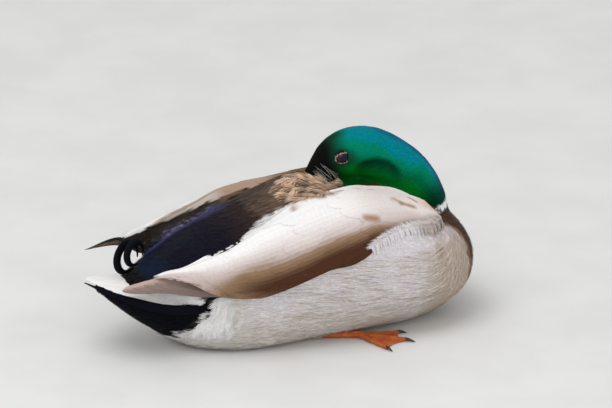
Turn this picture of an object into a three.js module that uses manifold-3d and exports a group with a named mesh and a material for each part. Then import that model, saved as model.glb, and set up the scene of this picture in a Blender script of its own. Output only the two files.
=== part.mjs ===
// A mallard drake at rest, life size, in millimetres.
// +X points to the breast, +Y to the bird's left and +Z up. The bird lies on its belly. Its neck rises from
// the breast and folds back, so that the head rests on the back and the bill is tucked into its feathers.
// Every piece is a closed solid. Pieces that touch keep GAP between them.
import * as THREE from "three";
import { mergeVertices } from "three/addons/utils/BufferGeometryUtils.js";
import Module from "manifold-3d";

const wasm = await Module();
wasm.setup();

// ---------- driving sizes ----------

const GAP = 0.35; // clearance between pieces that touch
const BODY_SIDES = 26; // points round a section of the trunk
const SLIVER = 0.05; // corners closer than this after a cut are made one
const NECK_SIDES = 22; // points round a section of the head and neck

// The trunk's sections, from the tip of the undertail to the breast.
// A section reaches halfWidth at the height of widest, and runs from bottom to top.
// Below the floor it is cut flat, which gives the belly its seat.
const TRUNK = [
  { x: -203, halfWidth: 6, top: 74, bottom: 67, widest: 71 },
  { x: -186, halfWidth: 19, top: 72, bottom: 50, widest: 64 },
  { x: -172, halfWidth: 26, top: 73, bottom: 37, widest: 58 },
  { x: -163, halfWidth: 30, top: 81, bottom: 30, widest: 56 },
  { x: -146, halfWidth: 39, top: 92, bottom: 18, widest: 52 },
  { x: -120, halfWidth: 51, top: 107, bottom: 0, widest: 50 },
  { x: -93, halfWidth: 63, top: 119, bottom: -12, widest: 54 },
  { x: -60, halfWidth: 75, top: 130, bottom: -17, widest: 58 },
  { x: -20, halfWidth: 82, top: 144, bottom: -14, widest: 65 },
  { x: 20, halfWidth: 86, top: 151, bottom: -9, widest: 70 },
  { x: 60, halfWidth: 87, top: 150, bottom: -6, widest: 71 },
  { x: 100, halfWidth: 86, top: 142, bottom: -4, widest: 69 },
  { x: 135, halfWidth: 84, top: 131, bottom: 0, widest: 65 },
  { x: 200, halfWidth: 84, top: 120, bottom: 2, widest: 60 },
];
const TRUNK_POWER = 2.3; // 2 is an ellipse, more is boxier
const BREAST = { start: 108, end: 195, height: 57 }; // the breast rounds off between these, about this height

// Loose feathers of the mantle, heaped over the bill.
const MANTLE = { x: 6, length: 26, width: 30, height: 15 };

// The folded wing with its scapulars: inner edge, ridge, side and lower edge of each section, as
// distance from the middle of the bird and height.
const WING = [
  { x: -156, innerY: 31, innerZ: 86, ridgeY: 33, ridgeZ: 86, sideY: 35, sideZ: 85.5, lowerY: 37, lowerZ: 85 },
  { x: -140, innerY: 33, innerZ: 91, ridgeY: 38, ridgeZ: 91.5, sideY: 44, sideZ: 91, lowerY: 48, lowerZ: 89 },
  { x: -125, innerY: 40, innerZ: 95, ridgeY: 47, ridgeZ: 96.5, sideY: 53, sideZ: 92, lowerY: 57, lowerZ: 85 },
  { x: -100, innerY: 43.5, innerZ: 103, ridgeY: 54.5, ridgeZ: 105.5, sideY: 67, sideZ: 92, lowerY: 72, lowerZ: 73 },
  { x: -75, innerY: 45, innerZ: 112.5, ridgeY: 58.5, ridgeZ: 114.5, sideY: 73, sideZ: 97, lowerY: 79, lowerZ: 69 },
  { x: -50, innerY: 44, innerZ: 126.5, ridgeY: 61, ridgeZ: 127, sideY: 80, sideZ: 101, lowerY: 86, lowerZ: 71 },
  { x: 0, innerY: 38, innerZ: 149, ridgeY: 60, ridgeZ: 143, sideY: 83, sideZ: 116, lowerY: 90, lowerZ: 87 },
  { x: 50, innerY: 34, innerZ: 155, ridgeY: 55, ridgeZ: 149, sideY: 76, sideZ: 128, lowerY: 86, lowerZ: 105 },
  { x: 75, innerY: 34, innerZ: 152, ridgeY: 53, ridgeZ: 146, sideY: 69, sideZ: 130, lowerY: 77, lowerZ: 115 },
  { x: 106, innerY: 37, innerZ: 143, ridgeY: 50, ridgeZ: 138, sideY: 62, sideZ: 128, lowerY: 69, lowerZ: 119 },
  { x: 130, innerY: 46, innerZ: 131, ridgeY: 53, ridgeZ: 127, sideY: 60, sideZ: 121, lowerY: 64, lowerZ: 116 },
  { x: 143, innerY: 52, innerZ: 121, ridgeY: 54, ridgeZ: 120, sideY: 56, sideZ: 118.5, lowerY: 57, lowerZ: 117.5 },
];
const WING_THICK = { inner: 1.5, middle: 8, lower: 3 };

// The tips of the primaries, which lie under the folded wing and over the edge of the tail.
const PRIMARIES = [
  { x: -186, y: 38, z: 78.5, halfWidth: 1.5, tilt: 14 },
  { x: -170, y: 40, z: 79.8, halfWidth: 6.5, tilt: 20 },
  { x: -150, y: 43, z: 80.5, halfWidth: 10, tilt: 27 },
  { x: -125, y: 49, z: 78, halfWidth: 11, tilt: 38 },
  { x: -96, y: 58, z: 74, halfWidth: 9, tilt: 48 },
];
const PRIMARIES_THICK = 3.4;

// The right wing lies low. The left one reaches further back and is carried higher towards its tip:
// sag lowers the inner edge, roll turns the primaries towards the back, and slim narrows them.
const RIGHT_SHIFT = [
  { x: -200, back: 0, inward: 0, up: 0, sag: 0, roll: 0, slim: 1 },
  { x: 140, back: 0, inward: 0, up: 0, sag: 0, roll: 0, slim: 1 },
];
const LEFT_SHIFT = [
  { x: -183, back: 14, inward: 5, up: 18.8, sag: 3, roll: 54, slim: 0.4 },
  { x: -165, back: 12, inward: 4, up: 19.2, sag: 4, roll: 62, slim: 0.4 },
  { x: -155, back: 11, inward: 4, up: 18.4, sag: 9, roll: 67, slim: 0.54 },
  { x: -140, back: 10, inward: 3, up: 14, sag: 17, roll: 72, slim: 0.8 },
  { x: -125, back: 9, inward: 3, up: 10, sag: 18, roll: 78, slim: 0.85 },
  { x: -105, back: 7, inward: 2, up: 11, sag: 16, roll: 84, slim: 0.85 },
  { x: -70, back: 4, inward: 1, up: 8, sag: 10, roll: 84, slim: 1 },
  { x: -35, back: 2, inward: 0, up: 2, sag: 8, roll: 0, slim: 1 },
  { x: 0, back: 0, inward: 0, up: -5, sag: 5, roll: 0, slim: 1 },
  { x: 50, back: 0, inward: 0, up: -5, sag: 0, roll: 0, slim: 1 },
  { x: 143, back: 0, inward: 0, up: -3, sag: 0, roll: 0, slim: 1 },
];

// The fan of the tail, arched from side to side.
const TAIL = [
  { x: -215, halfWidth: 4, z: 80, arch: 0.4 },
  { x: -208, halfWidth: 12, z: 79, arch: 1.6 },
  { x: -195, halfWidth: 23, z: 77, arch: 4 },
  { x: -175, halfWidth: 35, z: 74.5, arch: 7.5 },
  { x: -150, halfWidth: 45, z: 72, arch: 11 },
  { x: -128, halfWidth: 49, z: 70, arch: 11.5 },
  { x: -110, halfWidth: 50, z: 68, arch: 10 },
];
const TAIL_THICK = { middle: 4.4, edge: 1.6 };

// The undertail coverts lie under the tail, and are parted from the belly by a slanting cut through this point.
const VENT_CUT = { x: -88, z: 62, slope: 42 };

// The two curled feathers over the tail. Each is a ribbon that winds back and up round a centre.
const CURLS = [
  { name: "tail_curl_left", x: -167.2, z: 95, y: 4, from: -60, sweep: 316, radius: 15.6, shrink: 0.8, width: 8 },
  { name: "tail_curl_right", x: -162.2, z: 102, y: -5, from: -74, sweep: 312, radius: 12.4, shrink: 0.8, width: 7.4 },
];
const CURL_THICK = 1.4;
const CURL_FLARE = 72; // degrees by which a ribbon's width leans away from its centre
const CURL_YAW = 28; // degrees by which the curls turn towards the left wing

// Head and neck follow one bent line in the middle plane of the bird, from the bill's root over the crown
// and nape to the base of the neck. high is half the depth square to the line, and wide half the width.
const HEAD_AND_NECK = [
  { x: 25, z: 154, high: 7.5, wide: 8 },
  { x: 30, z: 159.5, high: 11.5, wide: 11.5 },
  { x: 38, z: 165.5, high: 16, wide: 15 },
  { x: 48, z: 172, high: 21.5, wide: 18 },
  { x: 60, z: 176, high: 25, wide: 20.5 },
  { x: 74, z: 177.3, high: 26, wide: 22 },
  { x: 90, z: 173.5, high: 26, wide: 22.5 },
  { x: 106, z: 164.5, high: 25, wide: 22.5 },
  { x: 121, z: 153, high: 24.5, wide: 23 },
  { x: 134, z: 138, high: 24, wide: 25 },
  { x: 142, z: 120, high: 25, wide: 29 },
  { x: 143, z: 100, high: 28, wide: 37 },
  { x: 136, z: 80, high: 34, wide: 48 },
];
const NAPE = 0.6; // the share of that line where the head ends and the neck begins

const EYE = { x: 53, y: 13.4, z: 179, radius: 7.4 };

// The bill, from its root in the face to its tip among the feathers of the back.
const BILL = {
  root: new THREE.Vector3(31, 0, 158.5),
  tip: new THREE.Vector3(-28, 0, 130.5),
  rows: [
    { x: 0, upper: 9.5, lower: 7, halfWidth: 8.2 },
    { x: 0.3, upper: 6.6, lower: 5, halfWidth: 8.8 },
    { x: 0.55, upper: 4.2, lower: 3.6, halfWidth: 10.2 },
    { x: 0.8, upper: 3.2, lower: 2.8, halfWidth: 11.6 },
    { x: 0.95, upper: 2.6, lower: 2, halfWidth: 9.4 },
    { x: 1, upper: 1.6, lower: 1.2, halfWidth: 5 },
  ],
};

// A foot lies flat, its toes spread outwards from under the flank.
const FOOT = { x: 57, y: 57, yaw: 33 };
const TOES = [
  { name: "inner", turn: 28, length: 47, radius: 3.1 },
  { name: "middle", turn: 1, length: 55, radius: 3.4 },
  { name: "outer", turn: -36, length: 48, radius: 3.2 },
];
const TOE_KNUCKLES = 3;
const WEB_THICK = 1.6;
const TARSUS = { length: 44, radius: 3.9, turn: 12 };

// ---------- materials ----------

const finish = (color, roughness, metalness = 0) => new THREE.MeshStandardMaterial({ color, roughness, metalness });
const MATERIALS = {
  flank: finish(0xc7c1c1, 0.85),
  scapular: finish(0xd9cfca, 0.8),
  primary: finish(0x7e6a5f, 0.7),
  tail: finish(0xf2f0ee, 0.8),
  black: finish(0x0e0e0f, 0.6),
  head: finish(0x04392c, 0.35, 0.2),
  bill: finish(0xb3a33c, 0.45),
  eye: finish(0x140b08, 0.08),
  leg: finish(0xd8722c, 0.55),
};

// ---------- small tools ----------

const degrees = THREE.MathUtils.degToRad;

// Reads rows of named sizes at any value of x, on a smooth curve through all of them.
function smoothly(rows) {
  const slope = (key, i) => {
    const before = rows[Math.max(i - 1, 0)];
    const after = rows[Math.min(i + 1, rows.length - 1)];
    return (after[key] - before[key]) / (after.x - before.x);
  };
  return (x) => {
    let i = rows.findIndex((row) => row.x > x) - 1;
    if (i < 0) i = x < rows[0].x ? 0 : rows.length - 2;
    const [a, b] = [rows[i], rows[i + 1]];
    const span = b.x - a.x;
    const t = (x - a.x) / span;
    const read = {};
    for (const key of Object.keys(a)) {
      const rise = b[key] - a[key];
      const [ma, mb] = [slope(key, i) * span, slope(key, i + 1) * span];
      read[key] = a[key] + t * (ma + t * (3 * rise - 2 * ma - mb + t * (ma + mb - 2 * rise)));
    }
    return read;
  };
}

// Evenly spaced numbers from a to b.
const steps = (a, b, count) => Array.from({ length: count + 1 }, (_, i) => a + ((b - a) * i) / count);

// The points of a section as seen along a line, with its two exponents alike.
function superellipse(sides, power, place) {
  return Array.from({ length: sides }, (_, i) => {
    const angle = (2 * Math.PI * (i + 0.5)) / sides;
    const bend = (v) => Math.sign(v) * Math.abs(v) ** (2 / power);
    return place(bend(Math.cos(angle)), bend(Math.sin(angle)));
  });
}

// A closed solid through rings of equal length, its ends closed by fans.
function loft(rings) {
  const count = rings[0].length;
  const middle = (ring) => ring.reduce((sum, p) => sum.add(p), new THREE.Vector3()).divideScalar(count);
  const points = [...rings.flat(), middle(rings[0]), middle(rings.at(-1))];
  const index = [];
  for (let r = 0; r < rings.length - 1; r++)
    for (let i = 0; i < count; i++) {
      const [a, b] = [r * count + i, r * count + ((i + 1) % count)];
      index.push(a, b, a + count, b, b + count, a + count);
    }
  const last = (rings.length - 1) * count;
  for (let i = 0; i < count; i++) {
    const next = (i + 1) % count;
    index.push(points.length - 2, next, i);
    index.push(points.length - 1, last + i, last + next);
  }
  return new THREE.BufferGeometry().setFromPoints(points).setIndex(index);
}

// three.js geometry as a manifold-3d solid with its faces pointing out, and back again.
function solid(geometry) {
  const bare = geometry.clone();
  bare.deleteAttribute("normal");
  bare.deleteAttribute("uv");
  const merged = mergeVertices(bare, 1e-3);
  const make = (triVerts) =>
    new wasm.Manifold(
      new wasm.Mesh({ numProp: 3, vertProperties: merged.attributes.position.array, triVerts }),
    );
  const made = make(new Uint32Array(merged.index.array));
  return made.volume() > 0 ? made : make(new Uint32Array(merged.index.array).reverse());
}

function geometryOf(made) {
  const { vertProperties, triVerts } = made.getMesh();
  const geometry = new THREE.BufferGeometry();
  geometry.setAttribute("position", new THREE.BufferAttribute(vertProperties, 3));
  return geometry.setIndex(new THREE.BufferAttribute(triVerts, 1));
}

// The solid made larger, to cut a neighbour with clearance. Each corner moves out until it is at least
// this distance above every face that meets there.
function grown(made, distance = GAP) {
  const geometry = mergeVertices(geometryOf(made), 1e-3);
  const { position } = geometry.attributes;
  const facesAt = Array.from({ length: position.count }, () => []);
  const corner = [0, 1, 2].map(() => new THREE.Vector3());
  for (let i = 0; i < geometry.index.count; i += 3) {
    corner.forEach((p, k) => p.fromBufferAttribute(position, geometry.index.getX(i + k)));
    const face = new THREE.Triangle(...corner).getNormal(new THREE.Vector3());
    if (face.lengthSq() > 0.5) for (let k = 0; k < 3; k++) facesAt[geometry.index.getX(i + k)].push(face);
  }
  facesAt.forEach((faces, v) => {
    const move = new THREE.Vector3();
    for (let round = 0; round < 30; round++)
      for (const face of faces) {
        const short = distance - move.dot(face);
        if (short > 0) move.addScaledVector(face, short);
      }
    move.clampLength(0, 6 * distance);
    position.setXYZ(v, position.getX(v) + move.x, position.getY(v) + move.y, position.getZ(v) + move.z);
  });
  return solid(geometry).add(made);
}

const largest = (made) => made.decompose().sort((a, b) => b.volume() - a.volume())[0];
const cut = (made, ...others) =>
  largest(others.reduce((rest, other) => rest.subtract(other), made).simplify(SLIVER));
const joined = (...parts) => parts.reduce((whole, part) => whole.add(part));

// ---------- trunk, with rump and undertail ----------

function trunkSolid() {
  const sizes = smoothly(TRUNK);
  const reach = BREAST.end - BREAST.start;
  const ring = (x) => {
    const s = sizes(x);
    const round = x > BREAST.start ? Math.sqrt(1 - ((x - BREAST.start) / reach) ** 2) : 1;
    const drawn = (z) => BREAST.height + (z - BREAST.height) * round;
    const [top, bottom, widest] = [s.top, s.bottom, s.widest].map((z) => (round < 1 ? drawn(z) : z));
    return superellipse(BODY_SIDES, TRUNK_POWER, (across, up) => {
      const y = across * s.halfWidth * round;
      const heap = Math.exp(-(((x - MANTLE.x) / MANTLE.length) ** 2) - (y / MANTLE.width) ** 2);
      const z = widest + up * (up > 0 ? top - widest : widest - bottom);
      return new THREE.Vector3(x, y, Math.max(0, z + (up > 0 ? MANTLE.height * heap : 0)));
    });
  };
  const straight = steps(TRUNK[0].x, BREAST.start, 16);
  const curved = steps(0, 87, 6).slice(1);
  const front = curved.map((angle) => BREAST.start + reach * Math.sin(degrees(angle)));
  return solid(loft([...straight, ...front].map(ring)));
}

// ---------- tail ----------

function tailSolid() {
  const sizes = smoothly(TAIL);
  const ring = (x) => {
    const s = sizes(x);
    const upper = steps(-1, 1, 8).map((t) => {
      const thick = THREE.MathUtils.lerp(TAIL_THICK.edge, TAIL_THICK.middle, 1 - t * t);
      return { y: t * s.halfWidth, z: s.z - s.arch * t * t, thick };
    });
    const above = upper.map((p) => new THREE.Vector3(x, p.y, p.z));
    const below = upper.map((p) => new THREE.Vector3(x, p.y, p.z - p.thick)).reverse();
    return [...above, ...below];
  };
  return solid(loft(steps(TAIL[0].x, TAIL.at(-1).x, 9).map(ring)));
}

// The room under the tail and behind the vent, with its faces moved out by margin.
function underTailSolid(margin = 0) {
  const sizes = smoothly(TAIL);
  const [wide, deep] = [90, -40];
  const ring = (x) => {
    const s = sizes(Math.min(x, TAIL.at(-1).x));
    const arch = s.arch * (1 - THREE.MathUtils.smoothstep(x, TAIL.at(-1).x - 14, TAIL.at(-1).x + 6));
    const top = steps(-1.5, 1.5, 12).map((t) => {
      const z = s.z - arch * Math.min(1, t * t) - TAIL_THICK.middle / 2;
      return new THREE.Vector3(x, t * s.halfWidth, z + margin);
    });
    return [...top, new THREE.Vector3(x, wide, deep), new THREE.Vector3(x, -wide, deep)];
  };
  const room = solid(loft(steps(TAIL[0].x - 5, -60, 9).map(ring)));
  const behind = new THREE.BoxGeometry(400, 400, 400).translate(margin - 200, 0, 0);
  behind.rotateY(degrees(VENT_CUT.slope)).translate(VENT_CUT.x, 0, VENT_CUT.z);
  return room.intersect(solid(behind));
}

function curlSolid(curl) {
  const rings = steps(0, 1, 18).map((t) => {
    const angle = degrees(curl.from - t * curl.sweep);
    const [flare, yaw] = [degrees(CURL_FLARE), degrees(CURL_YAW)];
    const radius = curl.radius - curl.shrink * t;
    const taper = Math.sqrt(Math.max(0.04, 1 - t ** 6)) * (0.62 + 0.38 * Math.sin(Math.PI * t));
    const at = (thick, across) => {
      const r = radius + across * curl.width * taper * Math.sin(flare);
      const aside = (thick * CURL_THICK) / 2 + across * curl.width * taper * Math.cos(flare);
      const out = r * Math.cos(angle);
      return new THREE.Vector3(
        curl.x + out * Math.cos(yaw) - aside * Math.sin(yaw),
        curl.y + out * Math.sin(yaw) + aside * Math.cos(yaw),
        curl.z + r * Math.sin(angle),
      );
    };
    return [at(1, 0), at(0.6, 0.5), at(-0.6, 0.5), at(-1, 0), at(-0.6, -0.5), at(0.6, -0.5)];
  });
  return solid(loft(rings));
}

// ---------- wings ----------

const sideShift = (sign) => smoothly(sign > 0 ? LEFT_SHIFT : RIGHT_SHIFT);

// Carries a point of the right wing's shape to its place on one side.
function onSide(sign, x, y, z) {
  const shift = sideShift(sign)(x);
  return new THREE.Vector3(x - shift.back, sign * (y - shift.inward), z + shift.up);
}

function wingSolid(sign) {
  const sizes = smoothly(WING);
  const ring = (x) => {
    const s = sizes(x);
    s.innerZ -= sideShift(sign)(x).sag;
    const outer = new THREE.CatmullRomCurve3(
      ["inner", "ridge", "side", "lower"].map((k) => new THREE.Vector3(x, s[k + "Y"], s[k + "Z"])),
      false,
      "centripetal",
    );
    const skin = steps(0, 1, 8).map((t) => outer.getPoint(t));
    const under = steps(0, 1, 4).map((t) => {
      const along = outer.getTangent(t);
      const edge = THREE.MathUtils.lerp(WING_THICK.inner, WING_THICK.lower, t);
      const share = Math.sin(Math.PI * t) ** 0.7;
      const slim = THREE.MathUtils.smoothstep(x, WING[0].x - 5, WING[2].x);
      const thick = edge + (WING_THICK.middle - edge) * share * (0.35 + 0.65 * slim);
      return outer.getPoint(t).add(new THREE.Vector3(0, along.z, -along.y).multiplyScalar(thick));
    });
    return [...skin, ...under.reverse()].map((p) => onSide(sign, p.x, p.y, p.z));
  };
  return solid(loft(steps(WING[0].x, WING.at(-1).x, 15).map(ring)));
}

function primariesSolid(sign) {
  const sizes = smoothly(PRIMARIES);
  const ring = (x) => {
    const s = sizes(x);
    const shift = sideShift(sign)(x);
    const tilt = degrees(shift.roll - s.tilt);
    return superellipse(10, 2, (across, up) => {
      const [a, b] = [across * s.halfWidth * shift.slim, (up * PRIMARIES_THICK) / 2];
      const y = a * Math.cos(tilt) - b * Math.sin(tilt);
      const z = a * Math.sin(tilt) + b * Math.cos(tilt);
      return onSide(sign, x, s.y + y, s.z + z);
    });
  };
  return solid(loft(steps(PRIMARIES[0].x, PRIMARIES.at(-1).x, 8).map(ring)));
}

// ---------- head, neck and bill ----------

// The solid of the head and neck between two shares of their line.
function alongNeck(from, to, count) {
  const shares = HEAD_AND_NECK.map((row, i) => ({ ...row, at: row.x, x: i / (HEAD_AND_NECK.length - 1) }));
  const sizes = smoothly(shares);
  const ring = (t) => {
    const [s, before, after] = [sizes(t), sizes(t - 0.01), sizes(t + 0.01)];
    const along = new THREE.Vector2(after.at - before.at, after.z - before.z).normalize();
    return superellipse(NECK_SIDES, 2.1, (across, up) => {
      const x = s.at - along.y * up * s.high;
      const z = s.z + along.x * up * s.high;
      return new THREE.Vector3(x, across * s.wide, z);
    });
  };
  return solid(loft(steps(from, to, count).map(ring)));
}

function eyeSolid(sign) {
  const ball = new THREE.SphereGeometry(EYE.radius, 12, 8);
  return solid(ball.translate(EYE.x, sign * EYE.y, EYE.z));
}

// Half of the bill: sign 1 is the upper half, -1 the lower.
function billSolid(sign) {
  const sizes = smoothly(BILL.rows);
  const axis = BILL.tip.clone().sub(BILL.root);
  const up = new THREE.Vector3(axis.z, 0, -axis.x).normalize();
  const rings = steps(0, 1, 9).map((t) => {
    const s = sizes(t);
    const high = sign > 0 ? s.upper : s.lower;
    const arc = steps(0, Math.PI, 6).map((angle) => {
      const [across, rise] = [Math.cos(angle) * s.halfWidth, Math.sin(angle) * high];
      const at = BILL.root.clone().addScaledVector(axis, t);
      at.addScaledVector(up, sign * (GAP / 2 + rise)).y = across;
      return at;
    });
    return arc;
  });
  return solid(loft(rings));
}

// ---------- legs and feet ----------

// A tapering tube through points, flattened where it meets the floor.
function limb(points, radii, sides = 8, spans = 1) {
  const line = new THREE.CatmullRomCurve3(points);
  const rings = steps(0, 1, (points.length - 1) * spans).map((t) => {
    const centre = line.getPoint(t);
    const along = line.getTangent(t);
    const across = new THREE.Vector3(-along.y, along.x, 0).normalize();
    const up = new THREE.Vector3().crossVectors(along, across).normalize();
    const place = t * (radii.length - 1);
    const low = Math.min(Math.floor(place), radii.length - 2);
    const radius = THREE.MathUtils.lerp(radii[low], radii[low + 1], place - low);
    return Array.from({ length: sides }, (_, i) => {
      const angle = (2 * Math.PI * (i + 0.5)) / sides;
      const p = centre.clone().addScaledVector(across, radius * Math.cos(angle));
      p.addScaledVector(up, radius * Math.sin(angle));
      return p.setZ(Math.max(0, p.z));
    });
  });
  return solid(loft(rings));
}

function toeSolid(toe) {
  const heading = degrees(toe.turn);
  const at = (distance, z) =>
    new THREE.Vector3(distance * Math.cos(heading), distance * Math.sin(heading), z);
  const knots = steps(0, 1, TOE_KNUCKLES * 2);
  const points = knots.map((t) => at(t * toe.length * 0.86, toe.radius * (1.05 - 0.3 * t)));
  const radii = knots.map((t, i) => toe.radius * (1.12 - 0.38 * t) * (i % 2 ? 0.84 : 1));
  const reach = toe.length;
  const claw = limb(
    [at(reach * 0.82, 2.1), at(reach * 0.93, 2.2), at(reach, 0.9)],
    [1.7, 1.3, 0.35],
    5,
  );
  return joined(limb(points, radii, 6), claw);
}

// The web between two toes, its free edge drawn in.
function webSolid(toe, next) {
  const tip = (t, share) =>
    new THREE.Vector2(Math.cos(degrees(t.turn)), Math.sin(degrees(t.turn))).multiplyScalar(t.length * share);
  const [a, b] = [tip(toe, 0.84), tip(next, 0.84)];
  const hollow = a.clone().add(b).multiplyScalar(0.42);
  const outline = new THREE.Shape().moveTo(0, 0).lineTo(a.x, a.y);
  outline.quadraticCurveTo(hollow.x, hollow.y, b.x, b.y).lineTo(0, 0);
  const sheet = new THREE.ExtrudeGeometry(outline, { depth: WEB_THICK, bevelEnabled: false, curveSegments: 4 });
  return solid(sheet.translate(0, 0, 0.5));
}

const placeFoot = (made, sign) => {
  const place = new THREE.Matrix4().makeTranslation(FOOT.x, sign * FOOT.y, 0);
  place.multiply(new THREE.Matrix4().makeRotationZ(degrees(sign * FOOT.yaw)));
  place.multiply(new THREE.Matrix4().makeScale(1, sign, 1));
  return solid(geometryOf(made).applyMatrix4(place));
};

function footSolid(sign) {
  // Toes turn the other way on the mirrored foot, which placeFoot's scale sees to.
  const toes = TOES.map((toe) => toeSolid({ ...toe, turn: -toe.turn }));
  const webs = TOES.slice(1).map((toe, i) =>
    webSolid({ ...TOES[i], turn: -TOES[i].turn }, { ...toe, turn: -toe.turn }),
  );
  const heel = solid(new THREE.SphereGeometry(5, 8, 5).scale(1, 1, 0.84).translate(0, 0, 4.2));
  const hind = limb(
    [new THREE.Vector3(-2, -3, 3.6), new THREE.Vector3(-7, -8, 2.6), new THREE.Vector3(-11, -12, 1)],
    [1.9, 1.5, 0.4],
    5,
  );
  return placeFoot(joined(...toes, ...webs, heel, hind), sign);
}

function legSolid(sign) {
  const away = degrees(180 - TARSUS.turn);
  const at = (distance, z) => new THREE.Vector3(distance * Math.cos(away), distance * Math.sin(away), z);
  const { length, radius } = TARSUS;
  const shank = limb(
    [at(3, 4.4), at(length * 0.35, 4.2), at(length * 0.7, 4.4), at(length, 5.6)],
    [radius * 0.95, radius * 0.85, radius, radius * 1.3],
    8,
    2,
  );
  return placeFoot(shank, sign);
}

// ---------- assembly ----------

const tail = tailSolid();
const tailRoom = grown(tail);
const body = cut(trunkSolid(), tailRoom);
const undertail = largest(body.intersect(underTailSolid()).simplify(SLIVER));
const trunkWhole = cut(body, underTailSolid(GAP));

const head = alongNeck(0, NAPE, 11);
const neckWhole = alongNeck(NAPE + 0.004, 1, 7);
const eyes = { left: eyeSolid(1), right: eyeSolid(-1) };
const bill = { bill_upper: billSolid(1), bill_lower: billSolid(-1) };
const wings = { left: wingSolid(1), right: wingSolid(-1) };
const primaries = { left: primariesSolid(1), right: primariesSolid(-1) };
const feet = { left: footSolid(1), right: footSolid(-1) };
const legs = { left: legSolid(1), right: legSolid(-1) };

const duck = new THREE.Group();
function piece(name, made, material) {
  const mesh = new THREE.Mesh(geometryOf(largest(solid(geometryOf(made)))), material);
  mesh.name = name;
  mesh.geometry.computeVertexNormals();
  duck.add(mesh);
}

const tucked = [head, ...Object.values(bill)].map((made) => grown(made));
const underneath = [...Object.values(feet), ...Object.values(legs)].map((made) => grown(made));
const wingRoom = Object.values(wings).map((made) => grown(made));
const trunkRoom = grown(trunkWhole);

piece("trunk", cut(trunkWhole, ...tucked, ...underneath, ...wingRoom), MATERIALS.flank);
piece("undertail", undertail, MATERIALS.black);
piece("tail", tail, MATERIALS.tail);
piece("neck", cut(neckWhole, trunkRoom, ...wingRoom), MATERIALS.head);
piece("head", cut(head, grown(eyes.left), grown(eyes.right)), MATERIALS.head);
for (const [name, made] of Object.entries(bill)) piece(name, cut(made, grown(head)), MATERIALS.bill);
for (const [side, sign] of [["left", 1], ["right", -1]]) {
  piece(`eye_${side}`, eyes[side], MATERIALS.eye);
  piece(`wing_${side}`, wings[side], MATERIALS.scapular);
  piece(`primaries_${side}`, cut(primaries[side], trunkRoom, grown(wings[side]), tailRoom), MATERIALS.primary);
  piece(`foot_${side}`, feet[side], MATERIALS.leg);
  piece(`leg_${side}`, cut(legs[side], grown(feet[side])), MATERIALS.leg);
}
for (const curl of CURLS)
  piece(curl.name, cut(curlSolid(curl), trunkRoom, tailRoom, ...wingRoom), MATERIALS.black);

// The origin is the middle of the footprint, at the level the bird rests on.
const box = new THREE.Box3().setFromObject(duck);
const centre = box.getCenter(new THREE.Vector3());
duck.position.set(-centre.x, -centre.y, -box.min.z);

const group = new THREE.Group();
group.add(duck);
export default group;
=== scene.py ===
# %% [markdown]
# # A drake mallard at rest
# A life-size museum model of a drake that lies on its belly with its head turned back and its bill in
# the feathers of its mantle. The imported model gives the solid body. Here it gets one skin, a coat of
# solid feathers, eyes, bill and feet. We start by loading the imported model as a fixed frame.

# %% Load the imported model
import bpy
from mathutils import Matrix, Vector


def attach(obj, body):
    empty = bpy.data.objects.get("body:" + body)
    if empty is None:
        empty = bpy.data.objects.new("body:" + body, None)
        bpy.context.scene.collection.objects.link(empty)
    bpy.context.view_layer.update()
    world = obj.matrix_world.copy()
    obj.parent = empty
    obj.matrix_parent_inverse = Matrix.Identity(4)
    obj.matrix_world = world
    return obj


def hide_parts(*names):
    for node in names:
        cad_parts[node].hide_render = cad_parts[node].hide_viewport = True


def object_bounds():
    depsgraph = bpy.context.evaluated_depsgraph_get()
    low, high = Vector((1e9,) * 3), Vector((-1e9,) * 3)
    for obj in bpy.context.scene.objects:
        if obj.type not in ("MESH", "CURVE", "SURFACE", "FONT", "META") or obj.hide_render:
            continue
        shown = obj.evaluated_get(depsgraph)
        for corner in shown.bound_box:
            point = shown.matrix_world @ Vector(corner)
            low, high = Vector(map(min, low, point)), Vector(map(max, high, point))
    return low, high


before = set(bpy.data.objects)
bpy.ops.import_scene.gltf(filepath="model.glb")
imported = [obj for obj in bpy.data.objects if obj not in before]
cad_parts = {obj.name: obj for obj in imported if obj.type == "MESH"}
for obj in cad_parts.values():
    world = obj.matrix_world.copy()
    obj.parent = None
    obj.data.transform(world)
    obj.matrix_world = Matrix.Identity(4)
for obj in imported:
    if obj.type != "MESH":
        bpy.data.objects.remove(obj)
cad_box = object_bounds()
print("nodes:", len(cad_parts))
print("box in metres:", [tuple(round(c, 3) for c in corner) for corner in cad_box])

# %% [markdown]
# ## One measure for the whole bird
# Sizes of a duck are easiest to read in millimetres, from a point on the floor below its face: X to the
# breast, Y to its left, Z up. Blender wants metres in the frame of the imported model, so two small
# functions go between the two. The breast's foremost point sets where our zero lies.

# %% Units and helpers
import math

import bmesh
import bpy
import numpy as np
from mathutils import Matrix, Vector, kdtree
from mathutils.bvhtree import BVHTree

BREAST_TIP = 194.88  # mm from our zero to the front of the breast
ahead = cad_box[1][0] * 1000 - BREAST_TIP


def place(points):
    "Duck millimetres to metres in the model's frame."
    return (np.asarray(points, float) + (ahead, 0, 0)) / 1000


def own(points):
    "Metres in the model's frame to duck millimetres."
    return np.asarray(points, float) * 1000 - (ahead, 0, 0)


def smooth(x, low, high):
    "0 below low, 1 above high, and an easy S between them."
    t = np.clip((np.asarray(x, float) - low) / (high - low), 0, 1)
    return t * t * (3 - 2 * t)


def unit(v):
    "Vectors made one long."
    return v / np.maximum(np.linalg.norm(v, axis=-1, keepdims=True), 1e-9)


def ripple(points, size, lot=0):
    "Soft waves through space, about size mm long, between -1 and 1: the same on every run."
    rng = np.random.default_rng(100 + lot)
    total = 0
    for _ in range(5):
        way = rng.normal(size=3)
        steps = points @ (way / np.linalg.norm(way)) * (2 * math.pi / size)
        total = total + np.sin(steps * rng.uniform(0.6, 1.5) + rng.uniform(0, 6.3))
    return total / 3


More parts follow.
